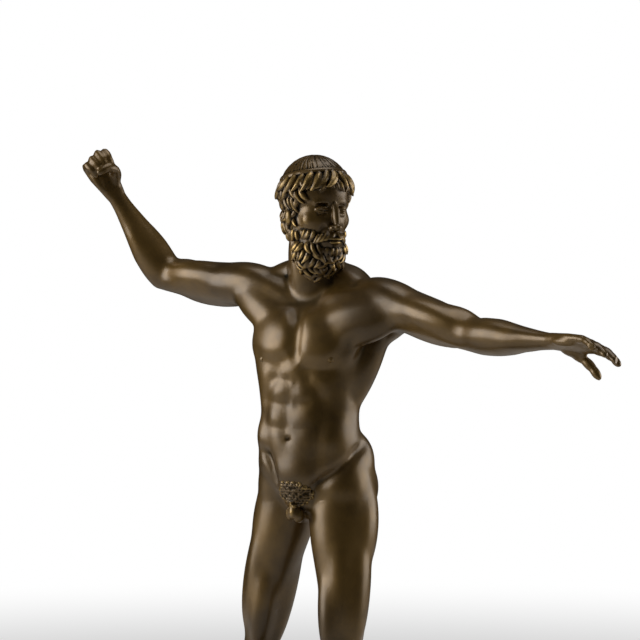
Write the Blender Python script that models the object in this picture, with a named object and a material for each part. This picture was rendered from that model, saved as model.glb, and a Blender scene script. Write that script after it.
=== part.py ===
"""A bronze statuette of a bearded god with both arms spread, on a low stone plinth.

The figure is built the way a clay model is: sections and muscles laid over a posed
skeleton, fused into one skin and smoothed. Metres, +Z up, the figure's chest faces -Y.
"""
import math
import random

import bmesh
import bpy
import numpy as np
from mathutils import Matrix, Vector
from mathutils.bvhtree import BVHTree

# Driving sizes, in metres
FIGURE_HEIGHT = 0.506       # crown to soles
PLINTH_LENGTH = 0.250       # along X
PLINTH_WIDTH = 0.165        # along Y
PLINTH_HEIGHT = 0.028
PLINTH_BEVEL = 0.003
FIGURE_SHIFT_X = 0.014      # of the torso's axis from the middle of the plinth
FIGURE_SHIFT_Y = 0.014
FOOT_GAP = 0.0003           # between the soles and the plinth
SOLE_TRIM = 0.0012          # cut off under the feet so that they stand flat

# Skin
SKIN_VOXEL = 0.0013
SKIN_SMOOTHING = 22
DETAIL_SMOOTHING = 1
HEAD_TRIANGLES = 4600
BODY_TRIANGLES = 4800
LOCK_WIDTH = 0.046          # half the width of a lock of hair, in units

# Every free form is in the sculptor's unit, a share of the figure's height
UNITS_TALL = 7.64
UNIT = FIGURE_HEIGHT / UNITS_TALL

# Joints of the posed skeleton, in units from the middle of the soles: x to the figure's left, y back, z up
SHOULDER_LEFT = Vector((0.90, -0.01, 6.05))
SHOULDER_RIGHT = Vector((-0.83, 0.10, 6.225))
HIP_LEFT = Vector((0.37, 0.02, 3.86))
HIP_RIGHT = Vector((-0.37, 0.04, 3.88))
NECK_BASE = Vector((0.02, 0.12, 6.18))
HEAD_CENTRE = Vector((0.095, -0.06, 7.06))
HEAD_YAW = 64
HEAD_NOD = 4

UPPER_ARM = 1.42
FOREARM = 1.15
THIGH = 1.86
SHIN = 1.74


def heading(yaw, pitch):
    """A direction: yaw in degrees from the figure's front towards its left, pitch up."""
    yaw = math.radians(yaw)
    pitch = math.radians(pitch)
    return Vector((math.sin(yaw) * math.cos(pitch), -math.cos(yaw) * math.cos(pitch), math.sin(pitch)))


def bone_frame(origin, along, face):
    """A frame whose z runs along the bone, whose -y looks to face and whose x is the third side."""
    z = along.normalized()
    y = -(face - z * face.dot(z)).normalized()
    x = y.cross(z)
    frame = Matrix((x, y, z)).transposed().to_4x4()
    frame.translation = origin
    return frame


def ball_mesh():
    """The ball that every ellipsoid is stamped from."""
    bm = bmesh.new()
    bmesh.ops.create_uvsphere(bm, u_segments=24, v_segments=16, radius=1)
    mesh = bpy.data.meshes.new("ball")
    bm.to_mesh(mesh)
    bm.free()
    return mesh


def stamp(bm, place):
    """Adds the ball, stretched and placed by a matrix."""
    ball = (bpy.data.meshes.get("ball") or ball_mesh()).copy()
    ball.transform(place)
    bm.from_mesh(ball)
    bpy.data.meshes.remove(ball)


def ellipsoid(bm, centre, radii, frame=Matrix.Identity(4), turn=(0, 0, 0)):
    """An ellipsoid with its centre and turn given in a frame."""
    spin = Matrix.Rotation(math.radians(turn[2]), 4, "Z") @ Matrix.Rotation(
        math.radians(turn[1]), 4, "Y") @ Matrix.Rotation(math.radians(turn[0]), 4, "X")
    stamp(bm, frame @ Matrix.Translation(centre) @ spin @ Matrix.Diagonal((*radii, 1)))


def muscle(bm, start, end, side, depth, frame=Matrix.Identity(4), face=(0, -1, 0), overrun=1.0):
    """An ellipsoid drawn out from start to end, side across and depth through its face."""
    a = frame @ Vector(start)
    b = frame @ Vector(end)
    look = frame.to_3x3() @ Vector(face)
    reach = (b - a).length / 2 * overrun
    stamp(bm, bone_frame((a + b) / 2, b - a, look) @ Matrix.Diagonal((side, depth, reach, 1)))


def loft(target, sections, frame=Matrix.Identity(4), squareness=2.2, segments=36):
    """A closed skin through sections: x, y, z of the middle, half width, reach to front and back."""
    bm = bmesh.new()
    rings = []
    for x, y, z, half, front, back in sections:
        made = bmesh.ops.create_circle(bm, segments=segments, radius=1)
        for v in made["verts"]:
            c = math.copysign(abs(v.co.x) ** (2 / squareness), v.co.x)
            s = math.copysign(abs(v.co.y) ** (2 / squareness), v.co.y)
            reach = back if s > 0 else front
            v.co = frame @ Vector((x + half * c, y + reach * s, z))
        rings.append(list({e for v in made["verts"] for e in v.link_edges}))
    for below, above in zip(rings, rings[1:]):
        bmesh.ops.bridge_loops(bm, edges=below + above)
    for ring in (rings[0], rings[-1]):
        bmesh.ops.edgeloop_fill(bm, edges=ring)
    bmesh.ops.recalc_face_normals(bm, faces=bm.faces)
    mesh = bpy.data.meshes.new("section")
    bm.to_mesh(mesh)
    bm.free()
    target.from_mesh(mesh)
    bpy.data.meshes.remove(mesh)


def torso(bm):
    """Ribcage, belly and pelvis, then the muscles that lie on them."""
    loft(bm, [
        (0, 0.04, 3.66, 0.30, 0.14, 0.22),
        (0, 0.04, 3.84, 0.52, 0.30, 0.34),
        (0, 0.02, 4.05, 0.62, 0.38, 0.40),
        (0, 0.00, 4.25, 0.64, 0.43, 0.38),
        (0, 0.00, 4.45, 0.61, 0.455, 0.30),
        (0, 0.00, 4.65, 0.585, 0.455, 0.27),
        (0, 0.00, 4.85, 0.58, 0.455, 0.28),
        (0, 0.00, 5.10, 0.61, 0.465, 0.33),
        (0, 0.00, 5.35, 0.66, 0.475, 0.40),
        (0.02, 0.00, 5.60, 0.70, 0.43, 0.44),
        (0.03, 0.02, 5.85, 0.70, 0.34, 0.44),
        (0.03, 0.05, 6.05, 0.62, 0.24, 0.40),
        (0.02, 0.08, 6.22, 0.40, 0.18, 0.30),
        (0, 0.10, 6.40, 0.22, 0.14, 0.22),
    ], squareness=2.3)
    for s, shoulder, arm_way in ((1, SHOULDER_LEFT, ARM_LEFT), (-1, SHOULDER_RIGHT, ARM_RIGHT)):
        humerus = shoulder + arm_way * (0.32 + 0.08 * s)
        # chest plate, drawn out to the arm
        ellipsoid(bm, (0.04 + 0.31 * s, -0.27, 5.64), (0.41, 0.18, 0.36), turn=(-14, 0, 17 * s))
        muscle(bm, (0.04 + 0.16 * s, -0.28, 5.70), humerus + Vector((0, -0.08, 0.0)), 0.25 + 0.03 * s, 0.15)
        muscle(bm, (0.04 + 0.22 * s, -0.30, 5.58), humerus + Vector((0, -0.10, 0.0)), 0.14 + 0.03 * s, 0.13)
        muscle(bm, (0.05 + 0.10 * s, -0.17, 5.94), shoulder + arm_way * 0.30 + Vector((0, -0.08, 0.02)),
               0.24, 0.13)
        # collar bone, the slope of the neck and the hollow behind the collar bone
        muscle(bm, (0.05 * s, -0.12, 6.11), shoulder + Vector((-0.12 * s, 0.0, 0.09)), 0.09, 0.055)
        muscle(bm, (0.10 * s, 0.14, 6.43 - 0.03 * s), shoulder + Vector((-0.08 * s, 0.06, 0.03)),
               0.18, 0.15, face=(0, 0, 1))
        muscle(bm, (0.06 * s, 0.24, 6.38), shoulder + Vector((-0.16 * s, 0.14, 0.0)), 0.24, 0.13)
        muscle(bm, (0.05 * s, 0.30, 5.55), (0.12 * s, 0.24, 6.50), 0.16, 0.12, face=(0, 1, 0))
        ellipsoid(bm, shoulder * 0.5 + Vector((0, 0.06, 3.06)), (0.36, 0.26, 0.17))
        # shoulder blade and the broad muscles from the back to the arm
        ellipsoid(bm, (0.40 * s, 0.29, 5.80), (0.32, 0.15, 0.38), turn=(0, 8 * s, -16 * s))
        muscle(bm, (0.38 * s, 0.33, 5.88), humerus + Vector((0, 0.06, 0.02)), 0.24, 0.17, face=(0, 1, 0))
        muscle(bm, (0.42 * s, 0.31, 5.62), humerus + Vector((0, 0.06, -0.06)), 0.18, 0.15, face=(0, 1, 0))
        muscle(bm, (0.22 * s, 0.22, 4.80), shoulder + Vector((-0.18 * s, 0.16, -0.22)), 0.28, 0.14,
               face=(0.5 * s, 1, 0))
        muscle(bm, (0.42 * s, 0.09, 4.80), shoulder + Vector((0.04 - 0.02 * s, 0.11, -0.18)), 0.20, 0.13,
               face=(1 * s, 0.5, 0))
        # ribs, flank and the columns beside the spine
        muscle(bm, (0.40 * s, -0.22, 4.90), (0.62 * s, 0.0, 5.60), 0.22, 0.12, face=(1 * s, -0.6, 0))
        ellipsoid(bm, (0.34 * s, -0.07, 4.56), (0.26, 0.35, 0.38))
        muscle(bm, (0.13 * s, 0.22, 4.10), (0.15 * s, 0.34, 5.50), 0.16, 0.11)
        muscle(bm, (0.25 * s, 0.20, 4.35), (0.30 * s, 0.19, 4.95), 0.15, 0.10, face=(0, 1, 0))
        muscle(bm, (0.15 * s, -0.30, 3.90), (0.17 * s, -0.33, 5.40), 0.24, 0.135)
        # hip and buttock
        ellipsoid(bm, (0.405 * s, 0.17, 4.28), (0.26, 0.28, 0.36))
        ellipsoid(bm, (0.40 * s + 0.02, 0.05, 4.02), (0.30, 0.35, 0.40))
        ellipsoid(bm, (0.33 * s, 0.22, 4.00), (0.34, 0.36, 0.40))
        muscle(bm, (0.26 * s, 0.30, 3.86), (0.42 * s, 0.20, 4.30), 0.30, 0.22, face=(0, 1, 0))
    ellipsoid(bm, (0.03, -0.20, 5.80), (0.17, 0.14, 0.19))
    ellipsoid(bm, (0, -0.19, 4.22), (0.42, 0.27, 0.40))
    ellipsoid(bm, (0, -0.24, 3.92), (0.20, 0.14, 0.18))


def groin(bm):
    """Plain small forms under the belly, with a patch of short curls above them."""
    dice = random.Random(3)
    for row, z in enumerate((4.03, 3.965, 3.90)):
        count = 6 - row
        for i in range(count):
            x = (i + 0.5 - count / 2) * 0.070
            ellipsoid(bm, (x, -0.375 + 0.25 * x * x + 0.02 * row, z), (0.040, 0.030, 0.030),
                      turn=(0, 360 * dice.random(), 0))
    muscle(bm, (0.0, -0.34, 3.86), (0.01, -0.40, 3.68), 0.055, 0.055)
    for s in (1, -1):
        ellipsoid(bm, (0.048 * s, -0.335, 3.72 - 0.01 * s), (0.060, 0.070, 0.085))


def neck(bm):
    """A round column with the two straps that run from behind the ears to the pit of the neck."""
    top = HEAD_CENTRE - heading(HEAD_YAW, 0) * 0.11 + Vector((0, 0, -0.10))
    muscle(bm, NECK_BASE + Vector((0, 0, -0.30)), top, 0.30, 0.30, overrun=1.35)
    pit = Vector((-0.02, -0.17, 6.08))
    for s, start in ((-1, Vector((-0.04, 0, 0))), (1, Vector((0.07, 0, 0)))):
        ear = head_frame() @ Vector((0.25 * s, 0.08, -0.14))
        muscle(bm, pit + start, ear, 0.085, 0.070, face=ear - top, overrun=1.08)
    ellipsoid(bm, HEAD_CENTRE + heading(HEAD_YAW, 0) * 0.10 + Vector((0, 0, -0.50)), (0.15, 0.15, 0.2))


def arm(bm, shoulder, along, forearm_way, biceps, turned, s):  # biceps: the side it faces
    elbow = shoulder + along * UPPER_ARM
    upper = bone_frame(shoulder, along, biceps)
    to_local = upper.to_3x3().inverted()
    loft(bm, [
        (0, 0, -0.12, 0.24, 0.24, 0.24),
        (0, 0, 0.20, 0.25, 0.25, 0.25),
        (0, 0, 0.55, 0.235, 0.235, 0.24),
        (0, 0, 0.95, 0.215, 0.21, 0.22),
        (0, 0, 1.25, 0.20, 0.18, 0.185),
        (0, 0, 1.45, 0.18, 0.155, 0.155),
    ], upper, squareness=2)
    up = (Vector((0, 0, 1)) - along * along.z).normalized()
    front = biceps.normalized()
    for face, size in ((up, 0.24), (up * 0.6 + front * 0.8, 0.22), (up * 0.5 - front * 0.85, 0.22)):
        local = to_local @ face.normalized()
        muscle(bm, local * 0.12 + Vector((0, 0, -0.30)), local * 0.03 + Vector((0, 0, 0.72)), size, 0.19,
               upper, face=local)
    muscle(bm, (0, -0.12, 0.26), (0, -0.10, 1.30), 0.18, 0.17, upper)
    muscle(bm, (0.08 * s, 0.12, 0.05), (0.07 * s, 0.13, 1.28), 0.16, 0.185, upper)
    muscle(bm, (-0.11 * s, 0.09, 0.20), (-0.09 * s, 0.10, 1.14), 0.145, 0.16, upper)
    muscle(bm, (-0.10 * s, -0.02, 0.75), (-0.12 * s, -0.03, 1.42), 0.125, 0.13, upper)
    ellipsoid(bm, (0, 0.08, 1.40), (0.12, 0.10, 0.12), upper)
    ellipsoid(bm, elbow + (forearm_way - along) * 0.12, (0.14, 0.14, 0.14))
    lower = bone_frame(elbow, forearm_way, turned)
    loft(bm, [
        (0, 0, -0.08, 0.19, 0.175, 0.175),
        (0, 0, 0.12, 0.225, 0.20, 0.20),
        (0, 0, 0.35, 0.225, 0.195, 0.195),
        (0, 0, 0.65, 0.17, 0.14, 0.14),
        (0, 0, 0.95, 0.125, 0.10, 0.10),
        (0, 0, 1.18, 0.12, 0.08, 0.08),
    ], lower, squareness=2)
    muscle(bm, (0.12, -0.02, -0.26), (0.09, -0.02, 0.76), 0.115, 0.14, lower)
    muscle(bm, (-0.11, -0.03, -0.05), (-0.06, -0.03, 0.84), 0.115, 0.135, lower)
    muscle(bm, (0.03, 0.08, -0.02), (0.02, 0.04, 0.82), 0.12, 0.10, lower)
    return lower @ Matrix.Translation((0, 0, FOREARM))


def finger(bm, frame, root, length, radius, curls, lead=(0, 0, 1), bend_to=(0, -1, 0)):
    """Three joints of a finger, each bent a little more, towards the palm if nothing else is given."""
    point = Vector(root)
    way = Vector(lead).normalized()
    hinge = way.cross(Vector(bend_to)).normalized()
    for share, curl, thin in zip((0.44, 0.32, 0.26), curls, (1.0, 0.93, 0.84)):
        way = Matrix.Rotation(math.radians(curl), 3, hinge) @ way
        tip = point + way * length * share
        over = way * radius * 0.9
        muscle(bm, point - over, tip + over, radius * thin * 1.06, radius * thin, frame)
        point = tip


def hand(bm, frame, curls, thumb, thumb_way, thumb_to, spread=5):
    """Palm, fingers and thumb; the palm faces the frame's -y and the thumb is on its +x."""
    loft(bm, [
        (0, 0, -0.06, 0.11, 0.075, 0.075),
        (0, 0, 0.08, 0.135, 0.075, 0.07),
        (0, 0, 0.25, 0.17, 0.075, 0.06),
        (0, 0, 0.40, 0.175, 0.065, 0.05),
        (0, 0, 0.46, 0.16, 0.04, 0.04),
    ], frame, squareness=2.6)
    ellipsoid(bm, (0.10, -0.05, 0.17), (0.075, 0.06, 0.15), frame, turn=(0, 18, 0))
    ellipsoid(bm, (-0.10, -0.04, 0.20), (0.06, 0.05, 0.16), frame)
    for i, (x, length) in enumerate(((0.125, 0.36), (0.045, 0.40), (-0.040, 0.37), (-0.120, 0.30))):
        lean = math.radians(spread * (1.5 - i))
        finger(bm, frame, (x, 0.0, 0.42 - 0.02 * abs(i - 1)), length, 0.050 - 0.003 * (i == 3),
               curls, lead=(math.sin(lean), 0, math.cos(lean)))
    finger(bm, frame, (0.12, -0.04, 0.12), 0.38, 0.056, thumb, lead=thumb_way, bend_to=thumb_to)


def leg(bm, hip, thigh_dir, shin_dir, knee_face, s):
    """One leg, from the hip joint to the ankle."""
    knee = hip + thigh_dir * THIGH
    upper = bone_frame(hip, thigh_dir, knee_face)
    # local x of this frame: to the figure's right for a leg that points down
    o = -s
    loft(bm, [
        (0, 0.02, -0.20, 0.33, 0.30, 0.33),
        (0, 0.02, 0.10, 0.37, 0.33, 0.37),
        (0, 0.01, 0.45, 0.345, 0.31, 0.33),
        (0, 0.00, 0.90, 0.27, 0.26, 0.25),
        (0, 0.00, 1.35, 0.21, 0.21, 0.19),
        (0, 0.00, 1.70, 0.18, 0.17, 0.17),
        (0, 0.00, 1.92, 0.17, 0.15, 0.16),
    ], upper, squareness=2)
    muscle(bm, (0.03 * o, -0.14, -0.10), (0.0, -0.10, 1.62), 0.17, 0.19, upper)
    muscle(bm, (0.20 * o, -0.02, 0.05), (0.12 * o, -0.06, 1.66), 0.17, 0.21, upper)
    muscle(bm, (-0.10 * o, -0.10, 0.55), (-0.12 * o, -0.08, 1.76), 0.15, 0.17, upper)
    muscle(bm, (-0.12 * o, 0.05, -0.15), (-0.10 * o, 0.02, 1.15), 0.17, 0.22, upper)
    muscle(bm, (0.10 * o, 0.16, 0.10), (0.12 * o, 0.10, 1.75), 0.15, 0.17, upper)
    muscle(bm, (-0.08 * o, 0.16, 0.10), (-0.12 * o, 0.10, 1.78), 0.14, 0.16, upper)
    muscle(bm, (0.27 * o, 0.03, -0.28), (0.21 * o, 0.0, 0.80), 0.17, 0.23, upper)
    ellipsoid(bm, (0, -0.12, 1.82), (0.11, 0.08, 0.13), upper)
    ellipsoid(bm, (0, -0.07, 1.99), (0.12, 0.09, 0.10), upper)
    muscle(bm, (0, 0.06, 1.45), (0, 0.07, 2.25), 0.165, 0.15, upper)
    lower = bone_frame(knee, shin_dir, knee_face)
    loft(bm, [
        (0, 0.0, -0.10, 0.185, 0.16, 0.17),
        (0, 0.0, 0.12, 0.185, 0.16, 0.18),
        (0, 0.0, 0.40, 0.20, 0.15, 0.21),
        (0, 0.0, 0.80, 0.165, 0.13, 0.18),
        (0, 0.0, 1.20, 0.125, 0.115, 0.14),
        (0, 0.0, 1.50, 0.105, 0.105, 0.13),
        (0, 0.0, 1.76, 0.12, 0.12, 0.14),
    ], lower, squareness=2)
    muscle(bm, (-0.10 * o, 0.13, -0.10), (-0.06 * o, 0.11, 0.92), 0.14, 0.165, lower)
    muscle(bm, (0.10 * o, 0.12, -0.10), (0.06 * o, 0.11, 0.84), 0.13, 0.155, lower)
    muscle(bm, (0.09 * o, -0.05, 0.05), (0.02 * o, -0.05, 1.20), 0.10, 0.10, lower)
    muscle(bm, (0, 0.12, 0.7), (0, 0.12, 1.75), 0.06, 0.07, lower)
    ellipsoid(bm, (0.10 * o, 0.01, 1.68), (0.055, 0.07, 0.075), lower)
    ellipsoid(bm, (-0.10 * o, -0.01, 1.64), (0.055, 0.07, 0.075), lower)
    return knee + shin_dir * SHIN


def foot(bm, ankle, yaw, s):
    """A bare foot flat on the ground, its toes along yaw; the big toe is on the other foot's side."""
    ahead = heading(yaw, 0)
    frame = Matrix((Vector((0, 0, 1)).cross(-ahead) * -1, -ahead, Vector((0, 0, 1)))).transposed().to_4x4()
    frame.translation = Vector((ankle.x, ankle.y, 0))
    inner = -s
    up = (0, 0, 1)
    muscle(bm, (0, 0.20, 0.13), (0.01 * inner, -0.20, 0.15), 0.135, 0.14, frame, face=up)
    muscle(bm, (0.01 * inner, 0.12, 0.12), (0.03 * inner, -0.66, 0.09), 0.18, 0.115, frame, face=up)
    muscle(bm, (0, 0.06, 0.34), (0.04 * inner, -0.58, 0.13), 0.125, 0.12, frame, face=up)
    muscle(bm, (-0.05 * inner, 0.05, 0.10), (-0.08 * inner, -0.55, 0.07), 0.12, 0.08, frame, face=up)
    ellipsoid(bm, (0.10 * inner, -0.55, 0.09), (0.09, 0.13, 0.09), frame)
    ellipsoid(bm, (0, 0.03, 0.30), (0.14, 0.16, 0.16), frame)
    toes = ((0.115, -0.87, 0.066), (0.025, -0.88, 0.048), (-0.045, -0.84, 0.045), (-0.11, -0.78, 0.042),
            (-0.165, -0.70, 0.040))
    for x, y, r in toes:
        root = (x * inner * 0.8, -0.50, 0.085)
        muscle(bm, root, (x * inner, y, r), r * 1.08, r, frame, face=up, overrun=1.15)


def tube(bm, path, sides, outs, frame, segments=8):
    """A closed skin swept along a path; sides and outs are the two half axes of each ring."""
    rings = []
    for point, side, out in zip(path, sides, outs):
        angles = [2 * math.pi * i / segments for i in range(segments)]
        rings.append([bm.verts.new(frame @ (point + side * math.cos(a) + out * math.sin(a)))
                      for a in angles])
    for below, above in zip(rings, rings[1:]):
        for i in range(segments):
            bm.faces.new((below[i], below[i - 1], above[i - 1], above[i]))
    bm.faces.new(rings[0])
    bm.faces.new(rings[-1][::-1])


def head(bm):
    """Skull, face and the soft mass of hair and beard; the face looks to -y, the eyes are at z = 0."""
    frame = head_frame()
    ellipsoid(bm, (0, 0.05, 0.16), (0.345, 0.44, 0.38), frame)
    ellipsoid(bm, (0, -0.12, -0.08), (0.285, 0.27, 0.38), frame)
    ellipsoid(bm, (0, -0.20, -0.34), (0.20, 0.19, 0.20), frame)
    ellipsoid(bm, (0, -0.17, 0.22), (0.28, 0.23, 0.20), frame)
    for s in (1, -1):
        ellipsoid(bm, (0.160 * s, -0.200, -0.11), (0.130, 0.115, 0.130), frame, turn=(0, 25 * s, 0))
        muscle(bm, (0.045 * s, -0.375, 0.075), (0.220 * s, -0.285, 0.072), 0.036, 0.044, frame)
    ellipsoid(bm, (0, -0.370, -0.30), (0.12, 0.07, 0.09), frame)
    for centre, radii in (CAP, NAPE, JAW, BEARD, MOUTH):
        ellipsoid(bm, centre, radii, frame)


def features(bm):
    """Nose, eyes, lips and ears, of the plainest proportions."""
    frame = head_frame()
    muscle(bm, (0, -0.355, 0.10), (0, -0.455, -0.19), 0.042, 0.060, frame)
    ellipsoid(bm, (0, -0.465, -0.185), (0.046, 0.050, 0.040), frame)
    for s in (1, -1):
        ellipsoid(bm, (0.045 * s, -0.425, -0.195), (0.034, 0.046, 0.032), frame)
        eye = Vector((0.125 * s, -0.298, 0))
        ellipsoid(bm, eye, (0.062, 0.060, 0.050), frame)
        for height in (0.026, -0.024):
            path = []
            for i in range(9):
                t = i / 4 - 1
                across = 0.072 * t
                ahead = -0.066 + 0.045 * t * t + 0.012 * t * s
                path.append(eye + Vector((across, ahead, height * (1 - t * t))))
            thick = 0.014 if height > 0 else 0.010
            tube(bm, path, [Vector((0, 0, thick))] * 9, [Vector((0, -thick, 0))] * 9, frame, segments=6)
        ellipsoid(bm, (0.335 * s, 0.03, -0.09), (0.035, 0.055, 0.08), frame)
    muscle(bm, (-0.085, -0.425, -0.312), (0.085, -0.425, -0.312), 0.018, 0.045, frame)
    muscle(bm, (-0.070, -0.420, -0.350), (0.070, -0.420, -0.350), 0.022, 0.046, frame)


def on_ellipsoid(centre, radii, around, up):
    """A point on an ellipsoid and its outward normal: around is degrees from the face to the left ear."""
    around = math.radians(around)
    up = math.radians(up)
    unit = Vector((math.sin(around) * math.cos(up), -math.cos(around) * math.cos(up), math.sin(up)))
    point = Vector(centre) + Vector(a * b for a, b in zip(unit, radii))
    normal = Vector(a / b for a, b in zip(unit, radii)).normalized()
    return point, normal


def lock(bm, shape, around, up, length, width, hook, lift=0.9, steps=9):
    """A lock of hair laid on an ellipsoid: it runs down and bends to one side by the hook's degrees."""
    centre, radii = shape
    turn = math.radians(abs(hook))
    side = math.copysign(1, hook)
    path = []
    outs = []
    for i in range(steps + 1):
        t = i / steps
        down = length / turn * math.sin(turn * t)
        across = side * length / turn * (1 - math.cos(turn * t))
        height = up - math.degrees(down / radii[2])
        girth = (radii[0] + radii[1]) / 2 * max(0.25, math.cos(math.radians(height)))
        point, normal = on_ellipsoid(centre, radii, around + math.degrees(across / girth), height)
        path.append(point + normal * width * (lift * t * t - 0.35 * (1 - t)))
        outs.append(normal)
    ways = [(path[min(i + 1, steps)] - path[max(i - 1, 0)]).normalized() for i in range(steps + 1)]
    sizes = [width * (0.6 + 0.4 * math.sin(math.pi * (i / steps) ** 0.8)) * (1 - 0.75 * (i / steps) ** 4)
             for i in range(steps + 1)]
    tube(bm, path, [n.cross(w) * r for n, w, r in zip(outs, ways, sizes)],
         [n * r * 1.1 for n, r in zip(outs, sizes)], head_frame())


CAP_CENTRE = (0, 0.05, 0.20)
CAP_RADII = (0.362, 0.455, 0.395)
NAPE_CENTRE = (0, 0.19, -0.10)
NAPE_RADII = (0.275, 0.26, 0.32)
BEARD_CENTRE = (0, -0.095, -0.43)
BEARD_RADII = (0.280, 0.270, 0.330)
JAW_CENTRE = (0, -0.01, -0.15)
JAW_RADII = (0.300, 0.270, 0.370)
MOUTH_CENTRE = (0, -0.21, -0.33)
MOUTH_RADII = (0.190, 0.225, 0.200)
BAND_UP = 24                # height of the band at the ears, in degrees
BAND_RISE = 13              # and more at the brow

CAP = (CAP_CENTRE, CAP_RADII)
NAPE = (NAPE_CENTRE, NAPE_RADII)
BEARD = (BEARD_CENTRE, BEARD_RADII)
JAW = (JAW_CENTRE, JAW_RADII)
MOUTH = (MOUTH_CENTRE, MOUTH_RADII)

# Rows of locks: mass, height in degrees (none: under the band), first and last place around it,
# length, hook
HAIR_ROWS = [
    (CAP, None, -112, 112, 0.29, 70),
    (CAP, None, 112, 248, 0.20, 50),
    (CAP, 7, 58, 302, 0.22, 60),
    (CAP, -14, 62, 298, 0.21, 70),
    (CAP, -33, 74, 286, 0.20, 75),
    (NAPE, 14, 66, 294, 0.18, 70),
    (NAPE, -12, 66, 294, 0.18, 75),
    (NAPE, -38, 72, 288, 0.15, 85),
]
BEARD_ROWS = [
    (BEARD, -62, -150, 150, 0.15, 60),
    (BEARD, -42, -135, 135, 0.15, 60),
    (BEARD, -22, -130, 130, 0.15, 60),
    (BEARD, -2, -130, 130, 0.15, 60),
    (MOUTH, -40, -80, 80, 0.13, 50),
    (JAW, -42, 72, 155, 0.15, 60),
    (JAW, -42, -155, -72, 0.15, 60),
    (JAW, -18, 74, 150, 0.15, 60),
    (JAW, -18, -150, -74, 0.15, 60),
    (JAW, 8, 78, 150, 0.17, 55),
    (JAW, 8, -150, -78, 0.17, 55),
    (JAW, 34, 76, 150, 0.17, 55),
    (JAW, 34, -150, -76, 0.17, 55),
]
# Moustache and the tuft under the lip: first place and height, last place and height around the mouth
MOUTH_LOCKS = [
    (8, 16, 62, -26),
    (18, 30, 76, 4),
    (10, -22, 24, -52),
]


def band_height(around):
    """Where the band lies on the cap: high on the brow, lower at the back."""
    return BAND_UP + BAND_RISE * math.cos(math.radians(around))


def locks(bm, rows, seed):
    """Rows of locks that turn to both sides by turns; the fringe parts over the brow."""
    dice = random.Random(seed)
    for row, (shape, up, first, last, length, hook) in enumerate(rows):
        radii = shape[1]
        girth = (radii[0] + radii[1]) / 2 * math.cos(math.radians(up or BAND_UP))
        ring = math.radians(last - first) * girth
        count = max(2, round(ring / (LOCK_WIDTH * 2.0)))
        for i in range(count):
            around = first + (last - first) * (i + 0.5 + 0.25 * (row % 2)) / count
            top = band_height(around) - 3 if up is None else up
            side = -1 if (i + row) % 2 else 1
            if row == 0 and rows is HAIR_ROWS:
                side = 1 if around > 8 else -1
            top += 5 * (dice.random() - 0.5)
            lock(bm, shape, around, top, length * (0.85 + 0.3 * dice.random()),
                 LOCK_WIDTH * (0.9 + 0.3 * dice.random()), side * hook * (0.75 + 0.5 * dice.random()))


def hair(bm):
    """Smooth crown inside a narrow band, a fringe below it, wavy locks over the ears and down the nape."""
    locks(bm, HAIR_ROWS, 5)
    steps = 48
    ring = [on_ellipsoid(*CAP, 360 * i / steps, band_height(360 * i / steps)) for i in range(steps)]
    ring.append(ring[0])
    ways = [(ring[(i + 1) % steps][0] - ring[(i - 1) % steps][0]).normalized() for i in range(steps + 1)]
    tube(bm, [p for p, n in ring], [n.cross(w) * 0.036 for (p, n), w in zip(ring, ways)],
         [n * 0.022 for p, n in ring], head_frame())


def beard(bm):
    """A full beard of short curls, a moustache and a tuft under the lip."""
    locks(bm, BEARD_ROWS, 11)
    shares = (0, 0.2, 0.4, 0.6, 0.8, 1.0)
    sizes = [LOCK_WIDTH * 0.85 * r for r in (0.5, 0.85, 1.0, 0.95, 0.75, 0.4)]
    for s in (1, -1):
        for from_around, from_up, to_around, to_up in MOUTH_LOCKS:
            spots = [on_ellipsoid(*MOUTH, s * (from_around + (to_around - from_around) * t ** 0.8),
                                  from_up + (to_up - from_up) * t ** 1.3) for t in shares]
            ways = [(spots[min(i + 1, 5)][0] - spots[max(i - 1, 0)][0]).normalized() for i in range(6)]
            tube(bm, [p for p, n in spots], [n.cross(w) * r for (p, n), w, r in zip(spots, ways, sizes)],
                 [n * r * 1.2 for (p, n), r in zip(spots, sizes)], head_frame())


def head_frame():
    nod = Matrix.Rotation(math.radians(HEAD_NOD), 4, "X")
    return Matrix.Translation(HEAD_CENTRE) @ Matrix.Rotation(math.radians(HEAD_YAW), 4, "Z") @ nod


# The pose: where each limb points
ARM_LEFT = heading(78, -15.3)
FOREARM_LEFT = heading(72, -2.5)
ARM_RIGHT = heading(-98, 5.5)
FOREARM_RIGHT = heading(-50, 58)
THIGH_LEFT = heading(35, -82)
SHIN_LEFT = heading(60, -88)
THIGH_RIGHT = heading(-88, -78)
SHIN_RIGHT = heading(-125, -80)
FRONT = Vector((0, -1, 0))


def build_skin(bm):
    """The soft masses of the whole figure."""
    torso(bm)
    neck(bm)
    head(bm)
    wrist_left = arm(bm, SHOULDER_LEFT, ARM_LEFT, FOREARM_LEFT,
                     Vector((0.1, -1, 0.35)), Vector((0, -0.5, -1)), 1)
    wrist_right = arm(bm, SHOULDER_RIGHT, ARM_RIGHT, FOREARM_RIGHT,
                      Vector((0, -1, 0.6)), Vector((0.7, -0.6, 0)), -1)
    hand(bm, wrist_left, (8, 14, 12), (5, 10, 10), (0.48, -0.25, 0.85), (0, -1, 0))
    hand(bm, wrist_right, (70, 75, 55), (5, 45, 40), (0.10, -0.78, 0.60), (-1, -0.1, 0))
    ankle_left = leg(bm, HIP_LEFT, THIGH_LEFT, SHIN_LEFT, heading(25, 0), 1)
    ankle_right = leg(bm, HIP_RIGHT, THIGH_RIGHT, SHIN_RIGHT, heading(-25, 0), -1)
    foot(bm, ankle_left, 30, 1)
    foot(bm, ankle_right, -38, -1)


def build_details(bm):
    """What is modelled on the soft masses once they are smooth."""
    features(bm)
    hair(bm)
    beard(bm)
    groin(bm)


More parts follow.
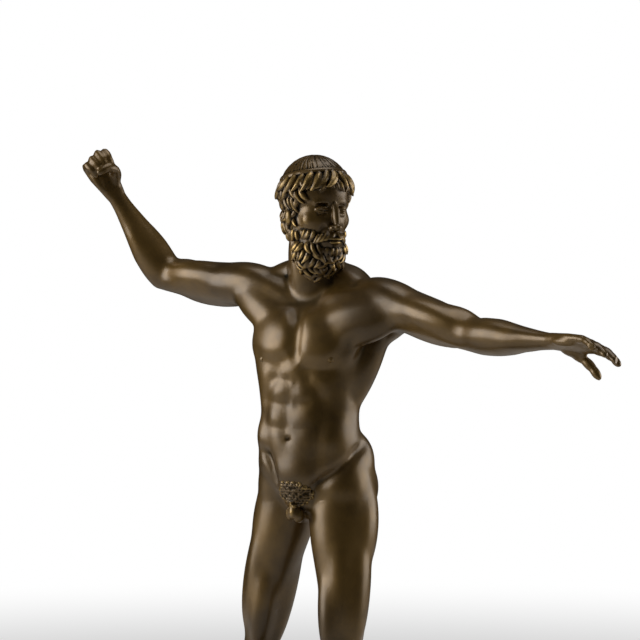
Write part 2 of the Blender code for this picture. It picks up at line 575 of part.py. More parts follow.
def smooth_path(points, per_span=6):
    """A Catmull-Rom curve through the points."""
    points = [Vector(p) for p in points]
    ends = [points[0] * 2 - points[1]] + points + [points[-1] * 2 - points[-2]]
    path = []
    for a, b, c, d in zip(ends, ends[1:], ends[2:], ends[3:]):
        for i in range(per_span):
            t = i / per_span
            path.append(0.5 * (2 * b + (c - a) * t + (2 * a - 5 * b + 4 * c - d) * t * t
                               + (3 * b - a - 3 * c + d) * t ** 3))
    return path + [points[-1]]


def seen_from(yaw):
    """The frame of a viewer at that yaw: x to their right, z up, and -y from the object to them."""
    return Matrix.Rotation(math.radians(yaw), 4, "Z")


def cast(tree, frame, across, height):
    """The first point of the skin that a viewer in that frame sees."""
    start = frame @ Vector((across, -4, height))
    return tree.ray_cast(start, frame.to_3x3() @ Vector((0, 1, 0)))[0]


def carve(points, normals, tree, frame, path, width, depth):
    """Pushes the skin in (or out, with a negative depth) along a path drawn on it from one viewpoint."""
    line = [cast(tree, frame, p.x, p.y) for p in smooth_path([(x, z, 0) for x, z in path])]
    line = np.array([p for p in line if p is not None])
    if len(line) < 2:
        return
    near = ((points > line.min(0) - 2.5 * width) & (points < line.max(0) + 2.5 * width)).all(1)
    ids = np.nonzero(near)[0]
    chosen = points[ids]
    best = np.full(len(ids), 1e9)
    taper = np.zeros(len(ids))
    steps = len(line) - 1
    for i in range(steps):
        a, b = line[i], line[i + 1]
        ab = b - a
        t = np.clip(((chosen - a) @ ab) / max(ab @ ab, 1e-12), 0, 1)
        d = np.linalg.norm(chosen - a - t[:, None] * ab, axis=1)
        closer = d < best
        best[closer] = d[closer]
        taper[closer] = ((i + t) / steps)[closer]
    ends = np.clip(np.minimum(taper, 1 - taper) * 5, 0, 1)
    facing = np.clip(normals[ids] @ np.array(frame.to_3x3() @ Vector((0, -1, 0))) * 3 + 0.6, 0, 1)
    amount = depth * np.exp(-(best / width) ** 2) * (0.25 + 0.75 * ends) * facing
    points[ids] -= normals[ids] * amount[:, None]


def mesh_arrays(mesh):
    points = np.zeros(len(mesh.vertices) * 3)
    mesh.vertices.foreach_get("co", points)
    normals = np.zeros(len(mesh.vertices) * 3)
    mesh.vertices.foreach_get("normal", normals)
    return points.reshape(-1, 3), normals.reshape(-1, 3)


THREE_QUARTER = 33
STROKES = [
    (THREE_QUARTER, [(-.13, 6.20), (-.16, 5.95), (-.17, 5.72), (-.19, 5.54), (-.205, 5.34)], 0.080, 0.044),
    (THREE_QUARTER, [(-.215, 5.30), (-.23, 5.20), (-.245, 5.02), (-.27, 4.84), (-.285, 4.66), (-.285, 4.50),
                    (-.29, 4.30)], 0.055, 0.020),
    (THREE_QUARTER, [(-.25, 5.42), (-.32, 5.39), (-.41, 5.37), (-.52, 5.39), (-.61, 5.46), (-.66, 5.58)],
     0.070, 0.034),
    (THREE_QUARTER, [(-.15, 5.40), (-.066, 5.35), (.083, 5.345), (.19, 5.39), (.287, 5.49),
                    (.41, 5.63), (.56, 5.76)], 0.070, 0.034),
    # across the belly
    (THREE_QUARTER, [(-.24, 5.20), (-.33, 5.18), (-.50, 5.21)], 0.045, 0.020),
    (THREE_QUARTER, [(-.24, 4.93), (-.36, 4.92), (-.52, 4.94)], 0.055, 0.022),
    (THREE_QUARTER, [(-.26, 4.67), (-.36, 4.66), (-.52, 4.68)], 0.055, 0.012),
    (0, [(0.03, 5.17), (0.15, 5.155), (0.29, 5.20)], 0.055, 0.012),
    (0, [(0.03, 4.93), (0.15, 4.925), (0.30, 4.96)], 0.055, 0.016),
    (0, [(0.03, 4.67), (0.15, 4.66), (0.29, 4.70)], 0.060, 0.008),
    # rib arch and the outer border of the belly
    (0, [(0.10, 5.34), (0.20, 5.24), (0.33, 5.05), (0.42, 4.88)], 0.09, 0.022),
    (0, [(-0.10, 5.34), (-0.20, 5.24), (-0.33, 5.05), (-0.42, 4.88)], 0.09, 0.022),
    (0, [(0.36, 5.05), (0.365, 4.75), (0.34, 4.45), (0.24, 4.12)], 0.10, 0.020),
    (0, [(-0.36, 5.05), (-0.365, 4.75), (-0.34, 4.45), (-0.24, 4.12)], 0.10, 0.020),
    # hip to groin, navel, flank
    (THREE_QUARTER, [(-.60, 4.44), (-.51, 4.36), (-.46, 4.25), (-.42, 4.12), (-.37, 3.98)], 0.060, 0.048),
    (THREE_QUARTER, [(.60, 4.50), (.52, 4.43), (.45, 4.36), (.376, 4.29), (.265, 4.20), (.12, 4.10),
                     (0.0, 4.00), (-.10, 3.86)], 0.060, 0.052),
    (THREE_QUARTER, [(-.285, 4.555), (-.280, 4.535)], 0.024, 0.07),
    (60, [(.36, 5.62), (.34, 5.40), (.30, 5.15), (.22, 4.95)], 0.08, 0.034),
    # the back
    (180, [(0, 6.20), (0, 5.60), (0, 5.00), (0, 4.50), (0, 4.30)], 0.10, 0.034),
    (180, [(0, 4.28), (0, 4.00), (0, 3.70)], 0.05, 0.08),
    (180, [(0.22, 6.02), (0.20, 5.75), (0.30, 5.48), (0.52, 5.42)], 0.10, 0.026),
    (180, [(-0.22, 6.02), (-0.20, 5.75), (-0.30, 5.48), (-0.52, 5.42)], 0.10, 0.026),
]


FACE_STROKES = [
    # eye sockets, the folds beside the nose, in the head's own frame
    ([(0.065, 0.015), (0.125, 0.030), (0.195, 0.010)], 0.050, 0.050),
    ([(0.075, -0.020), (0.125, -0.040), (0.185, -0.025)], 0.035, 0.022),
    ([(0.085, -0.16), (0.125, -0.22), (0.150, -0.30)], 0.030, 0.018),
]


def stand():
    """From units to metres: where the figure stands on the plinth."""
    place = (FIGURE_SHIFT_X, FIGURE_SHIFT_Y, PLINTH_HEIGHT + FOOT_GAP - SOLE_TRIM)
    return Matrix.Translation(place) @ Matrix.Scale(UNIT, 4)


def sculpt(mesh):
    """Draws the carved lines into the skin."""
    points, normals = mesh_arrays(mesh)
    lift = np.array(stand().translation)
    points = (points - lift) / UNIT
    tree = BVHTree.FromPolygons([Vector(p) for p in points], [p.vertices[:] for p in mesh.polygons])
    for yaw, path, width, depth in STROKES:
        carve(points, normals, tree, seen_from(yaw), path, width, depth)
    for s in (1, -1):
        for path, width, depth in FACE_STROKES:
            carve(points, normals, tree, head_frame(), [(x * s, z) for x, z in path], width, depth)
    mesh.vertices.foreach_set("co", (points * UNIT + lift).ravel())
    mesh.update()


def material(name, colour, roughness, metallic):
    mat = bpy.data.materials.new(name)
    mat.use_nodes = True
    shader = mat.node_tree.nodes["Principled BSDF"]
    shader.inputs["Base Color"].default_value = (*colour, 1)
    shader.inputs["Roughness"].default_value = roughness
    shader.inputs["Metallic"].default_value = metallic
    return mat


def add_object(name, bm, mat):
    mesh = bpy.data.meshes.new(name)
    bm.to_mesh(mesh)
    bm.free()
    obj = bpy.data.objects.new(name, mesh)
    bpy.context.scene.collection.objects.link(obj)
    mesh.materials.append(mat)
    return obj


def baked(obj):
    """The object's mesh with its modifiers applied, in place of the old one."""
    mesh = bpy.data.meshes.new_from_object(obj.evaluated_get(bpy.context.evaluated_depsgraph_get()))
    obj.modifiers.clear()
    obj.data = mesh
    return mesh


def flatten_soles(mesh):
    """Cuts the feet off flat where they meet the plinth."""
    bm = bmesh.new()
    bm.from_mesh(mesh)
    floor = PLINTH_HEIGHT + FOOT_GAP
    everything = bm.verts[:] + bm.edges[:] + bm.faces[:]
    bmesh.ops.bisect_plane(bm, geom=everything, plane_co=(0, 0, floor), plane_no=(0, 0, 1),
                           clear_inner=True)
    bmesh.ops.holes_fill(bm, edges=[e for e in bm.edges if e.is_boundary])
    bm.to_mesh(mesh)
    bm.free()


def fuse(obj, smoothing):
    """One closed skin out of everything in the object."""
    skin = obj.modifiers.new("Fuse", "REMESH")
    skin.mode = "VOXEL"
    skin.voxel_size = SKIN_VOXEL
    skin.use_smooth_shade = True
    soften = obj.modifiers.new("Soften", "SMOOTH")
    soften.iterations = smoothing
    return baked(obj)


def thin(obj, is_head, triangles):
    """Thins either the head or the rest of the figure to about that many triangles."""
    mesh = obj.data
    points = mesh_arrays(mesh)[0]
    middle = np.array(stand() @ (HEAD_CENTRE - Vector((0, 0, 0.1))))
    chosen = (np.linalg.norm(points - middle, axis=1) < 0.9 * UNIT) == is_head
    corners = np.array([p.vertices[0] for p in mesh.polygons])
    sides = np.array([len(p.vertices) for p in mesh.polygons]) - 2
    kept = sides[~chosen[corners]].sum()
    group = obj.vertex_groups.new(name="thinned")
    group.add([int(i) for i in np.nonzero(chosen)[0]], 1, "REPLACE")
    reduce = obj.modifiers.new("Thin", "DECIMATE")
    reduce.vertex_group = group.name
    reduce.ratio = (kept + triangles) / sides.sum()
    baked(obj)
    obj.vertex_groups.clear()


def figure():
    """The cast figure, in one piece."""
    bm = bmesh.new()
    build_skin(bm)
    bmesh.ops.transform(bm, matrix=stand(), verts=bm.verts)
    obj = add_object("figure", bm, material("bronze", (0.16, 0.11, 0.05), 0.35, 1.0))
    sculpt(fuse(obj, SKIN_SMOOTHING))
    bm = bmesh.new()
    build_details(bm)
    bmesh.ops.transform(bm, matrix=stand(), verts=bm.verts)
    bm.from_mesh(obj.data)
    bm.to_mesh(obj.data)
    bm.free()
    fuse(obj, DETAIL_SMOOTHING)
    thin(obj, False, BODY_TRIANGLES)
    thin(obj, True, HEAD_TRIANGLES)
    flatten_soles(obj.data)
    return obj


def plinth():
    """A low slab with softened edges."""
    bm = bmesh.new()
    bmesh.ops.create_cube(bm, size=1)
    size = Matrix.Diagonal((PLINTH_LENGTH, PLINTH_WIDTH, PLINTH_HEIGHT, 1))
    bmesh.ops.transform(bm, matrix=Matrix.Translation((0, 0, PLINTH_HEIGHT / 2)) @ size, verts=bm.verts)
    bmesh.ops.bevel(bm, geom=bm.edges[:], offset=PLINTH_BEVEL, segments=2, affect="EDGES", profile=0.5)
    return add_object("plinth", bm, material("stone", (0.03, 0.03, 0.03), 0.2, 0.0))


def clear():
    for obj in list(bpy.data.objects):
        bpy.data.objects.remove(obj)


if __name__ == "__main__":
    clear()
    figure()
    plinth()
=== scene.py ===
# Bronze statuette of a bearded god with spread arms, on a low stone plinth.
import math
import random

import bmesh
import bpy
import numpy as np
from mathutils import Matrix, Vector
from mathutils.bvhtree import BVHTree


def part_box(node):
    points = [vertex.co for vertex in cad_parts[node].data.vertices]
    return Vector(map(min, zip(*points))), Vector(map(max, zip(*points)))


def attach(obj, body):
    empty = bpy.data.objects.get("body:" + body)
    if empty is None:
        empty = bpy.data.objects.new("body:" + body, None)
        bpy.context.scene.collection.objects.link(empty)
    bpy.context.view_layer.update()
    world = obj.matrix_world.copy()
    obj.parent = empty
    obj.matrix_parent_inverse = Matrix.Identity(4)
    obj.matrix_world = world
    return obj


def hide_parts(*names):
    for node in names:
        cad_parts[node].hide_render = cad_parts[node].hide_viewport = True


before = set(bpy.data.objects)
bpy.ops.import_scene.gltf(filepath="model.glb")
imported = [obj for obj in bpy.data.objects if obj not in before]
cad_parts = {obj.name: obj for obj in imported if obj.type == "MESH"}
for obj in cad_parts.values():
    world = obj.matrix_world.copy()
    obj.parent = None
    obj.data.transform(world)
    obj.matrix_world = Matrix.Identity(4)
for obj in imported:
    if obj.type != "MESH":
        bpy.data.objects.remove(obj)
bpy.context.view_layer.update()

scene = bpy.context.scene

# The figure is modelled in units, a share of its height, standing at the middle of its soles:
# x to its own left, y back, z up. A few settings say how finely its skin is made. Where a function
# takes s, it is 1 for the left side and -1 for the right.
figure = {
    "height": 0.506,
    "unitsTall": 7.64,
    "standAt": (0.014, 0.014),   # torso axis on the plinth
    "soleTrim": 0.0012,          # cut off flat under the feet
    "footGap": 0.0003,
    "roughVoxel": 0.0013,        # the soft masses
    "bodyVoxel": 0.0008,
    "headVoxel": 0.00042,
    "roughSoftening": 70,        # rounds of smoothing
    "bodySoftening": 12,
    "faceSoftening": 24,
    "headSoftening": 2,
    "curlSoftening": 1,
    "bodyTriangles": 92000,
    "headTriangles": 100000,
    "curlTriangles": 6000,
}
unit = figure["height"] / figure["unitsTall"]
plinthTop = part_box("plinth")[1][2]
photoAzimuth = 33  # degrees that the photograph is taken from, round from the front to the figure's left


def heading(yaw, pitch):  # degrees from the figure's front towards its left, and up
    yaw = math.radians(yaw)
    pitch = math.radians(pitch)
    return Vector((math.sin(yaw) * math.cos(pitch), -math.cos(yaw) * math.cos(pitch), math.sin(pitch)))


pose = {  # pairs are left, right
    "shoulders": (Vector((0.90, -0.01, 6.05)), Vector((-0.83, 0.10, 6.225))),
    "hips": (Vector((0.37, 0.02, 3.86)), Vector((-0.37, 0.04, 3.88))),
    "neck": Vector((0.02, 0.12, 6.18)),
    "head": Vector((0.095, -0.06, 7.06)),
    "headYaw": 64,
    "headNod": 4,
    "upperArms": (heading(78, -15.3), heading(-98, 5.5)),
    "forearms": (heading(72, -2.5), heading(-50, 58)),
    "biceps": (Vector((0.1, -1, 0.35)), Vector((0, -1, 0.6))),    # the side it faces
    "palms": (Vector((0, -0.5, -1)), Vector((0.7, -0.6, 0))),
    "fingerSpread": 5,
    "thighs": (heading(35, -82), heading(-88, -78)),
    "shins": (heading(60, -88), heading(-125, -80)),
    "knees": (heading(25, 0), heading(-25, 0)),
    "feet": (30, -38),
}
boneLength = {"upperArm": 1.42, "forearm": 1.15, "thigh": 1.86, "shin": 1.74}


def boneFrame(origin, along, face):  # z runs along the bone, -y looks to the face
    z = along.normalized()
    y = -(face - z * face.dot(z)).normalized()
    made = Matrix((y.cross(z), y, z)).transposed().to_4x4()
    made.translation = origin
    return made


def headFrame():  # the face looks to -y, the eyes are at z = 0
    nod = Matrix.Rotation(math.radians(pose["headNod"]), 4, "X")
    return Matrix.Translation(pose["head"]) @ Matrix.Rotation(math.radians(pose["headYaw"]), 4, "Z") @ nod


# Clay: balls, drawn-out muscles, lofted sections and swept tubes
clayGrid = {"ballAround": 32, "ballUp": 20, "sectionAround": 40}


def makeBall():
    bm = bmesh.new()
    bmesh.ops.create_uvsphere(bm, u_segments=clayGrid["ballAround"], v_segments=clayGrid["ballUp"], radius=1)
    mesh = bpy.data.meshes.new("ball")
    bm.to_mesh(mesh)
    bm.free()
    return mesh


ballMesh = makeBall()


def stamp(clay, place):
    ball = ballMesh.copy()
    ball.transform(place)
    clay.from_mesh(ball)
    bpy.data.meshes.remove(ball)


def ellipsoid(clay, centre, radii, within=Matrix.Identity(4), turn=(0, 0, 0)):
    spin = Matrix.Identity(4)
    for angle, axis in zip(turn, "XYZ"):
        spin = Matrix.Rotation(math.radians(angle), 4, axis) @ spin
    stamp(clay, within @ Matrix.Translation(centre) @ spin @ Matrix.Diagonal((*radii, 1)))


def muscle(clay, start, end, side, depth, within=Matrix.Identity(4), face=(0, -1, 0), overrun=1.0):
    a = within @ Vector(start)
    b = within @ Vector(end)
    look = within.to_3x3() @ Vector(face)
    reach = (b - a).length / 2 * overrun
    stamp(clay, boneFrame((a + b) / 2, b - a, look) @ Matrix.Diagonal((side, depth, reach, 1)))


def bridged(clay, bm, rings):  # one closed skin from a row of rings, added to the clay
    for below, above in zip(rings, rings[1:]):
        bmesh.ops.bridge_loops(bm, edges=below + above)
    for ring in (rings[0], rings[-1]):
        bmesh.ops.edgeloop_fill(bm, edges=ring)
    bmesh.ops.recalc_face_normals(bm, faces=bm.faces)
    mesh = bpy.data.meshes.new("section")
    bm.to_mesh(mesh)
    bm.free()
    clay.from_mesh(mesh)
    bpy.data.meshes.remove(mesh)


def loft(clay, sections, within=Matrix.Identity(4), squareness=2):  # 2 is round, more is squarer
    # each section: x, y, z of its middle, half width, reach to the front, reach to the back
    bm = bmesh.new()
    rings = []
    for x, y, z, half, front, back in sections:
        made = bmesh.ops.create_circle(bm, segments=clayGrid["sectionAround"], radius=1)["verts"]
        for v in made:
            c = math.copysign(abs(v.co.x) ** (2 / squareness), v.co.x)
            s = math.copysign(abs(v.co.y) ** (2 / squareness), v.co.y)
            v.co = within @ Vector((x + half * c, y + (back if s > 0 else front) * s, z))
        rings.append(list({e for v in made for e in v.link_edges}))
    bridged(clay, bm, rings)


def tube(clay, path, sides, outs, within, segments=8):
    # sides and outs are the two half axes of each ring
    bm = bmesh.new()
    rings = []
    for point, side, out in zip(path, sides, outs):
        made = bmesh.ops.create_circle(bm, segments=segments, radius=1)["verts"]
        for v in made:
            v.co = within @ (point + side * v.co.x + out * v.co.y)
        rings.append(list({e for v in made for e in v.link_edges}))
    bridged(clay, bm, rings)


def torso(clay):
    loft(clay, [
        (0, 0.04, 3.66, 0.30, 0.14, 0.22),
        (0, 0.04, 3.84, 0.52, 0.30, 0.34),
        (0, 0.02, 4.05, 0.62, 0.38, 0.40),
        (0, 0.00, 4.25, 0.64, 0.43, 0.38),
        (0, 0.00, 4.45, 0.61, 0.455, 0.30),
        (0, 0.00, 4.65, 0.585, 0.455, 0.27),
        (0, 0.00, 4.85, 0.58, 0.455, 0.28),
        (0, 0.00, 5.10, 0.61, 0.465, 0.33),
        (0, 0.00, 5.35, 0.66, 0.475, 0.40),
        (0.02, 0.00, 5.60, 0.70, 0.43, 0.44),
        (0.03, 0.02, 5.85, 0.70, 0.34, 0.44),
        (0.03, 0.05, 6.05, 0.62, 0.24, 0.40),
        (0.02, 0.08, 6.22, 0.40, 0.18, 0.30),
        (0, 0.10, 6.40, 0.22, 0.14, 0.22),
    ], squareness=2.3)
    for s, shoulder, armWay in zip((1, -1), pose["shoulders"], pose["upperArms"]):
        humerus = shoulder + armWay * (0.32 + 0.08 * s)
        # chest plate, drawn out to the arm
        ellipsoid(clay, (0.04 + 0.31 * s, -0.27, 5.64), (0.41, 0.18, 0.36), turn=(-14, 0, 17 * s))
        muscle(clay, (0.04 + 0.16 * s, -0.28, 5.70), humerus + Vector((0, -0.08, 0.0)), 0.25 + 0.03 * s, 0.15)
        muscle(clay, (0.04 + 0.22 * s, -0.30, 5.58), humerus + Vector((0, -0.10, 0.0)), 0.14 + 0.03 * s, 0.13)
        muscle(clay, (0.05 + 0.10 * s, -0.17, 5.94), shoulder + armWay * 0.30 + Vector((0, -0.08, 0.02)),
               0.24, 0.13)
        # collar bone, the slope of the neck and the hollow behind the collar bone
        muscle(clay, (0.05 * s, -0.12, 6.11), shoulder + Vector((-0.12 * s, 0.0, 0.09)), 0.09, 0.055)
        muscle(clay, (0.10 * s, 0.14, 6.43 - 0.03 * s), shoulder + Vector((-0.08 * s, 0.06, 0.03)),
               0.18, 0.15, face=(0, 0, 1))
        muscle(clay, (0.06 * s, 0.24, 6.38), shoulder + Vector((-0.16 * s, 0.14, 0.0)), 0.24, 0.13)
        muscle(clay, (0.05 * s, 0.30, 5.55), (0.12 * s, 0.24, 6.50), 0.16, 0.12, face=(0, 1, 0))
        ellipsoid(clay, shoulder * 0.5 + Vector((0, 0.06, 3.06)), (0.36, 0.26, 0.17))
        # shoulder blade and the broad muscles from the back to the arm
        ellipsoid(clay, (0.40 * s, 0.29, 5.80), (0.32, 0.15, 0.38), turn=(0, 8 * s, -16 * s))
        muscle(clay, (0.38 * s, 0.33, 5.88), humerus + Vector((0, 0.06, 0.02)), 0.24, 0.17, face=(0, 1, 0))
        muscle(clay, (0.42 * s, 0.31, 5.62), humerus + Vector((0, 0.06, -0.06)), 0.18, 0.15, face=(0, 1, 0))
        muscle(clay, (0.22 * s, 0.22, 4.80), shoulder + Vector((-0.18 * s, 0.16, -0.22)), 0.28, 0.14,
               face=(0.5 * s, 1, 0))
        muscle(clay, (0.42 * s, 0.09, 4.80), shoulder + Vector((0.04 - 0.02 * s, 0.11, -0.18)), 0.20, 0.13,
               face=(1 * s, 0.5, 0))
        # ribs, flank and the columns beside the spine
        muscle(clay, (0.40 * s, -0.22, 4.90), (0.62 * s, 0.0, 5.60), 0.22, 0.12, face=(1 * s, -0.6, 0))
        ellipsoid(clay, (0.34 * s, -0.07, 4.56), (0.26, 0.35, 0.38))
        muscle(clay, (0.13 * s, 0.22, 4.10), (0.15 * s, 0.34, 5.50), 0.16, 0.11)
        muscle(clay, (0.25 * s, 0.20, 4.35), (0.30 * s, 0.19, 4.95), 0.15, 0.10, face=(0, 1, 0))
        muscle(clay, (0.15 * s, -0.30, 3.90), (0.17 * s, -0.33, 5.40), 0.24, 0.135)
        # hip and buttock
        ellipsoid(clay, (0.405 * s, 0.17, 4.28), (0.26, 0.28, 0.36))
        ellipsoid(clay, (0.40 * s + 0.02, 0.05, 4.02), (0.30, 0.35, 0.40))
        ellipsoid(clay, (0.33 * s, 0.22, 4.00), (0.34, 0.36, 0.40))
        muscle(clay, (0.26 * s, 0.30, 3.86), (0.42 * s, 0.20, 4.30), 0.30, 0.22, face=(0, 1, 0))
    # breastbone, belly and the mound above the groin
    ellipsoid(clay, (0.03, -0.20, 5.80), (0.17, 0.14, 0.19))
    ellipsoid(clay, (0, -0.19, 4.22), (0.42, 0.27, 0.40))
    ellipsoid(clay, (0, -0.24, 3.92), (0.20, 0.14, 0.18))


def groin(clay):
    muscle(clay, (0.0, -0.34, 3.86), (0.01, -0.40, 3.68), 0.055, 0.055)
    for s in (1, -1):
        ellipsoid(clay, (0.048 * s, -0.335, 3.72 - 0.01 * s), (0.060, 0.070, 0.085))


groinCurl = {
    "rows": 9,
    "top": 4.06,
    "rowGap": 0.03,
    "inWidestRow": 12,
    "gap": 0.034,
    "stray": 0.010,
    "turn": 200,        # degrees of its bend, to either side
    "radius": 0.020,
    "rise": 0.008,
    "halfWidth": 0.011,
    "halfDepth": 0.016,
    "girths": (1, 1.3, 1.4, 1.3, 1, 0.6),
    "bed": 0.032,       # radius of the ball under each curl
    "bedDepth": 0.020,
}
nipple = {
    "places": ((0.49, 5.41), (-0.42, 5.41)),
    "ring": (0.036, 0.036, 0.009),
    "tip": (0.015, 0.015, 0.016),
}


def onSkin(tree, x, z):  # the point in units, and the normal, that shows from in front of the figure
    spot, normal = tree.ray_cast(standing() @ Vector((x, -2, z)), Vector((0, 1, 0)))[:2]
    return standing().inverted() @ spot, normal


def curl(clay, spot, normal, turn):
    side = normal.cross(Vector((0, 0, 1))).normalized()
    up = side.cross(normal)
    girths = groinCurl["girths"]
    last = len(girths) - 1
    points = []
    for t in (j / last for j in range(last + 1)):
        across = side * groinCurl["radius"] * math.cos(turn * t)
        along = up * groinCurl["radius"] * math.sin(turn * t)
        points.append(spot + across + along + normal * groinCurl["rise"] * t)
    ways = [(points[min(j + 1, last)] - points[max(j - 1, 0)]).normalized() for j in range(last + 1)]
    tube(clay, points, [normal.cross(w) * groinCurl["halfWidth"] * r for w, r in zip(ways, girths)],
         [normal * groinCurl["halfDepth"] * r for r in girths], Matrix.Identity(4), segments=6)
    stamp(clay, Matrix.Translation(spot - normal * groinCurl["bedDepth"]) @ Matrix.Scale(groinCurl["bed"], 4))


def groinCurls(clay, tree):
    dice = random.Random(3)
    for row in range(groinCurl["rows"]):
        count = round(groinCurl["inWidestRow"] * math.sin(math.pi * (row + 2.2) / (groinCurl["rows"] + 2.5)))
        for i in range(count):
            place = i + 0.5 * (row % 2) + 0.5 - count / 2
            x = place * groinCurl["gap"] + groinCurl["stray"] * dice.random()
            spot, normal = onSkin(tree, x, groinCurl["top"] - groinCurl["rowGap"] * row)
            curl(clay, spot, normal, math.radians(dice.choice((groinCurl["turn"], -groinCurl["turn"]))))


def nipples(clay, tree):
    for x, z in nipple["places"]:
        spot, normal = onSkin(tree, x, z)
        around = boneFrame(spot, normal, Vector((0, 0, 1)))
        ellipsoid(clay, (0, 0, 0), nipple["ring"], around)
        ellipsoid(clay, (0, 0, 0.004), nipple["tip"], around)


def neck(clay):
    turned = heading(pose["headYaw"], 0)
    top = pose["head"] - turned * 0.11 + Vector((0, 0, -0.10))
    muscle(clay, pose["neck"] + Vector((0, 0, -0.30)), top, 0.30, 0.30, overrun=1.35)
    pit = Vector((-0.02, -0.15, 6.08))
    for s, start in ((-1, Vector((-0.04, 0, 0))), (1, Vector((0.07, 0, 0)))):
        ear = headFrame() @ Vector((0.25 * s, 0.08, -0.14))
        muscle(clay, pit + start, ear, 0.075, 0.070, face=ear - top, overrun=1.08)
    ellipsoid(clay, pose["head"] + turned * 0.10 + Vector((0, 0, -0.50)), (0.15, 0.15, 0.2))


def arm(clay, shoulder, along, forearmWay, biceps, palm, s):
    elbow = shoulder + along * boneLength["upperArm"]
    upper = boneFrame(shoulder, along, biceps)
    toLocal = upper.to_3x3().inverted()
    loft(clay, [
        (0, 0, -0.12, 0.24, 0.24, 0.24),
        (0, 0, 0.20, 0.25, 0.25, 0.25),
        (0, 0, 0.55, 0.235, 0.235, 0.24),
        (0, 0, 0.95, 0.215, 0.21, 0.22),
        (0, 0, 1.25, 0.20, 0.18, 0.185),
        (0, 0, 1.45, 0.18, 0.155, 0.155),
    ], upper)
    up = (Vector((0, 0, 1)) - along * along.z).normalized()
    front = biceps.normalized()
    for face, size in ((up, 0.24), (up * 0.6 + front * 0.8, 0.22), (up * 0.5 - front * 0.85, 0.22)):
        local = toLocal @ face.normalized()
        muscle(clay, local * 0.12 + Vector((0, 0, -0.30)), local * 0.03 + Vector((0, 0, 0.72)),
               size, 0.19, upper, face=local)
    muscle(clay, (0, -0.12, 0.26), (0, -0.10, 1.30), 0.18, 0.17, upper)
    muscle(clay, (0.08 * s, 0.12, 0.05), (0.07 * s, 0.13, 1.28), 0.16, 0.185, upper)
    muscle(clay, (-0.11 * s, 0.09, 0.20), (-0.09 * s, 0.10, 1.14), 0.145, 0.16, upper)
    muscle(clay, (-0.10 * s, -0.02, 0.75), (-0.12 * s, -0.03, 1.42), 0.125, 0.13, upper)
    ellipsoid(clay, (0, 0.08, 1.40), (0.12, 0.10, 0.12), upper)
    ellipsoid(clay, elbow + (forearmWay - along) * 0.12, (0.14, 0.14, 0.14))
    lower = boneFrame(elbow, forearmWay, palm)
    loft(clay, [
        (0, 0, -0.08, 0.19, 0.175, 0.175),
        (0, 0, 0.12, 0.225, 0.20, 0.20),
        (0, 0, 0.35, 0.225, 0.195, 0.195),
        (0, 0, 0.65, 0.17, 0.14, 0.14),
        (0, 0, 0.95, 0.125, 0.10, 0.10),
        (0, 0, 1.18, 0.12, 0.08, 0.08),
    ], lower)
    muscle(clay, (0.12, -0.02, -0.26), (0.09, -0.02, 0.76), 0.115, 0.14, lower)
    muscle(clay, (-0.11, -0.03, -0.05), (-0.06, -0.03, 0.84), 0.115, 0.135, lower)
    muscle(clay, (0.03, 0.08, -0.02), (0.02, 0.04, 0.82), 0.12, 0.10, lower)
    return lower @ Matrix.Translation((0, 0, boneLength["forearm"]))


def finger(clay, within, root, length, radius, curls, lead, bendTo=(0, -1, 0)):
    point = Vector(root)
    way = Vector(lead).normalized()
    hinge = way.cross(Vector(bendTo)).normalized()
    for share, curl, thin in zip((0.44, 0.32, 0.26), curls, (1.0, 0.93, 0.84)):
        way = Matrix.Rotation(math.radians(curl), 3, hinge) @ way
        tip = point + way * length * share
        muscle(clay, point - way * radius * 0.9, tip + way * radius * 0.9,
               radius * thin * 1.06, radius * thin, within)
        point = tip


def hand(clay, within, curls, thumb, thumbWay, thumbTo):  # the palm faces -y, the thumb is on +x
    loft(clay, [
        (0, 0, -0.06, 0.11, 0.075, 0.075),
        (0, 0, 0.08, 0.135, 0.075, 0.07),
        (0, 0, 0.25, 0.17, 0.075, 0.06),
        (0, 0, 0.40, 0.175, 0.065, 0.05),
        (0, 0, 0.46, 0.16, 0.04, 0.04),
    ], within, squareness=2.6)
    ellipsoid(clay, (0.10, -0.05, 0.17), (0.075, 0.06, 0.15), within, turn=(0, 18, 0))
    ellipsoid(clay, (-0.10, -0.04, 0.20), (0.06, 0.05, 0.16), within)
    for i, (x, length) in enumerate(((0.125, 0.36), (0.045, 0.40), (-0.040, 0.37), (-0.120, 0.30))):
        lean = math.radians(pose["fingerSpread"] * (1.5 - i))
        finger(clay, within, (x, 0.0, 0.42 - 0.02 * abs(i - 1)), length, 0.050 - 0.003 * (i == 3), curls,
               lead=(math.sin(lean), 0, math.cos(lean)))
    finger(clay, within, (0.12, -0.04, 0.12), 0.38, 0.056, thumb, lead=thumbWay, bendTo=thumbTo)


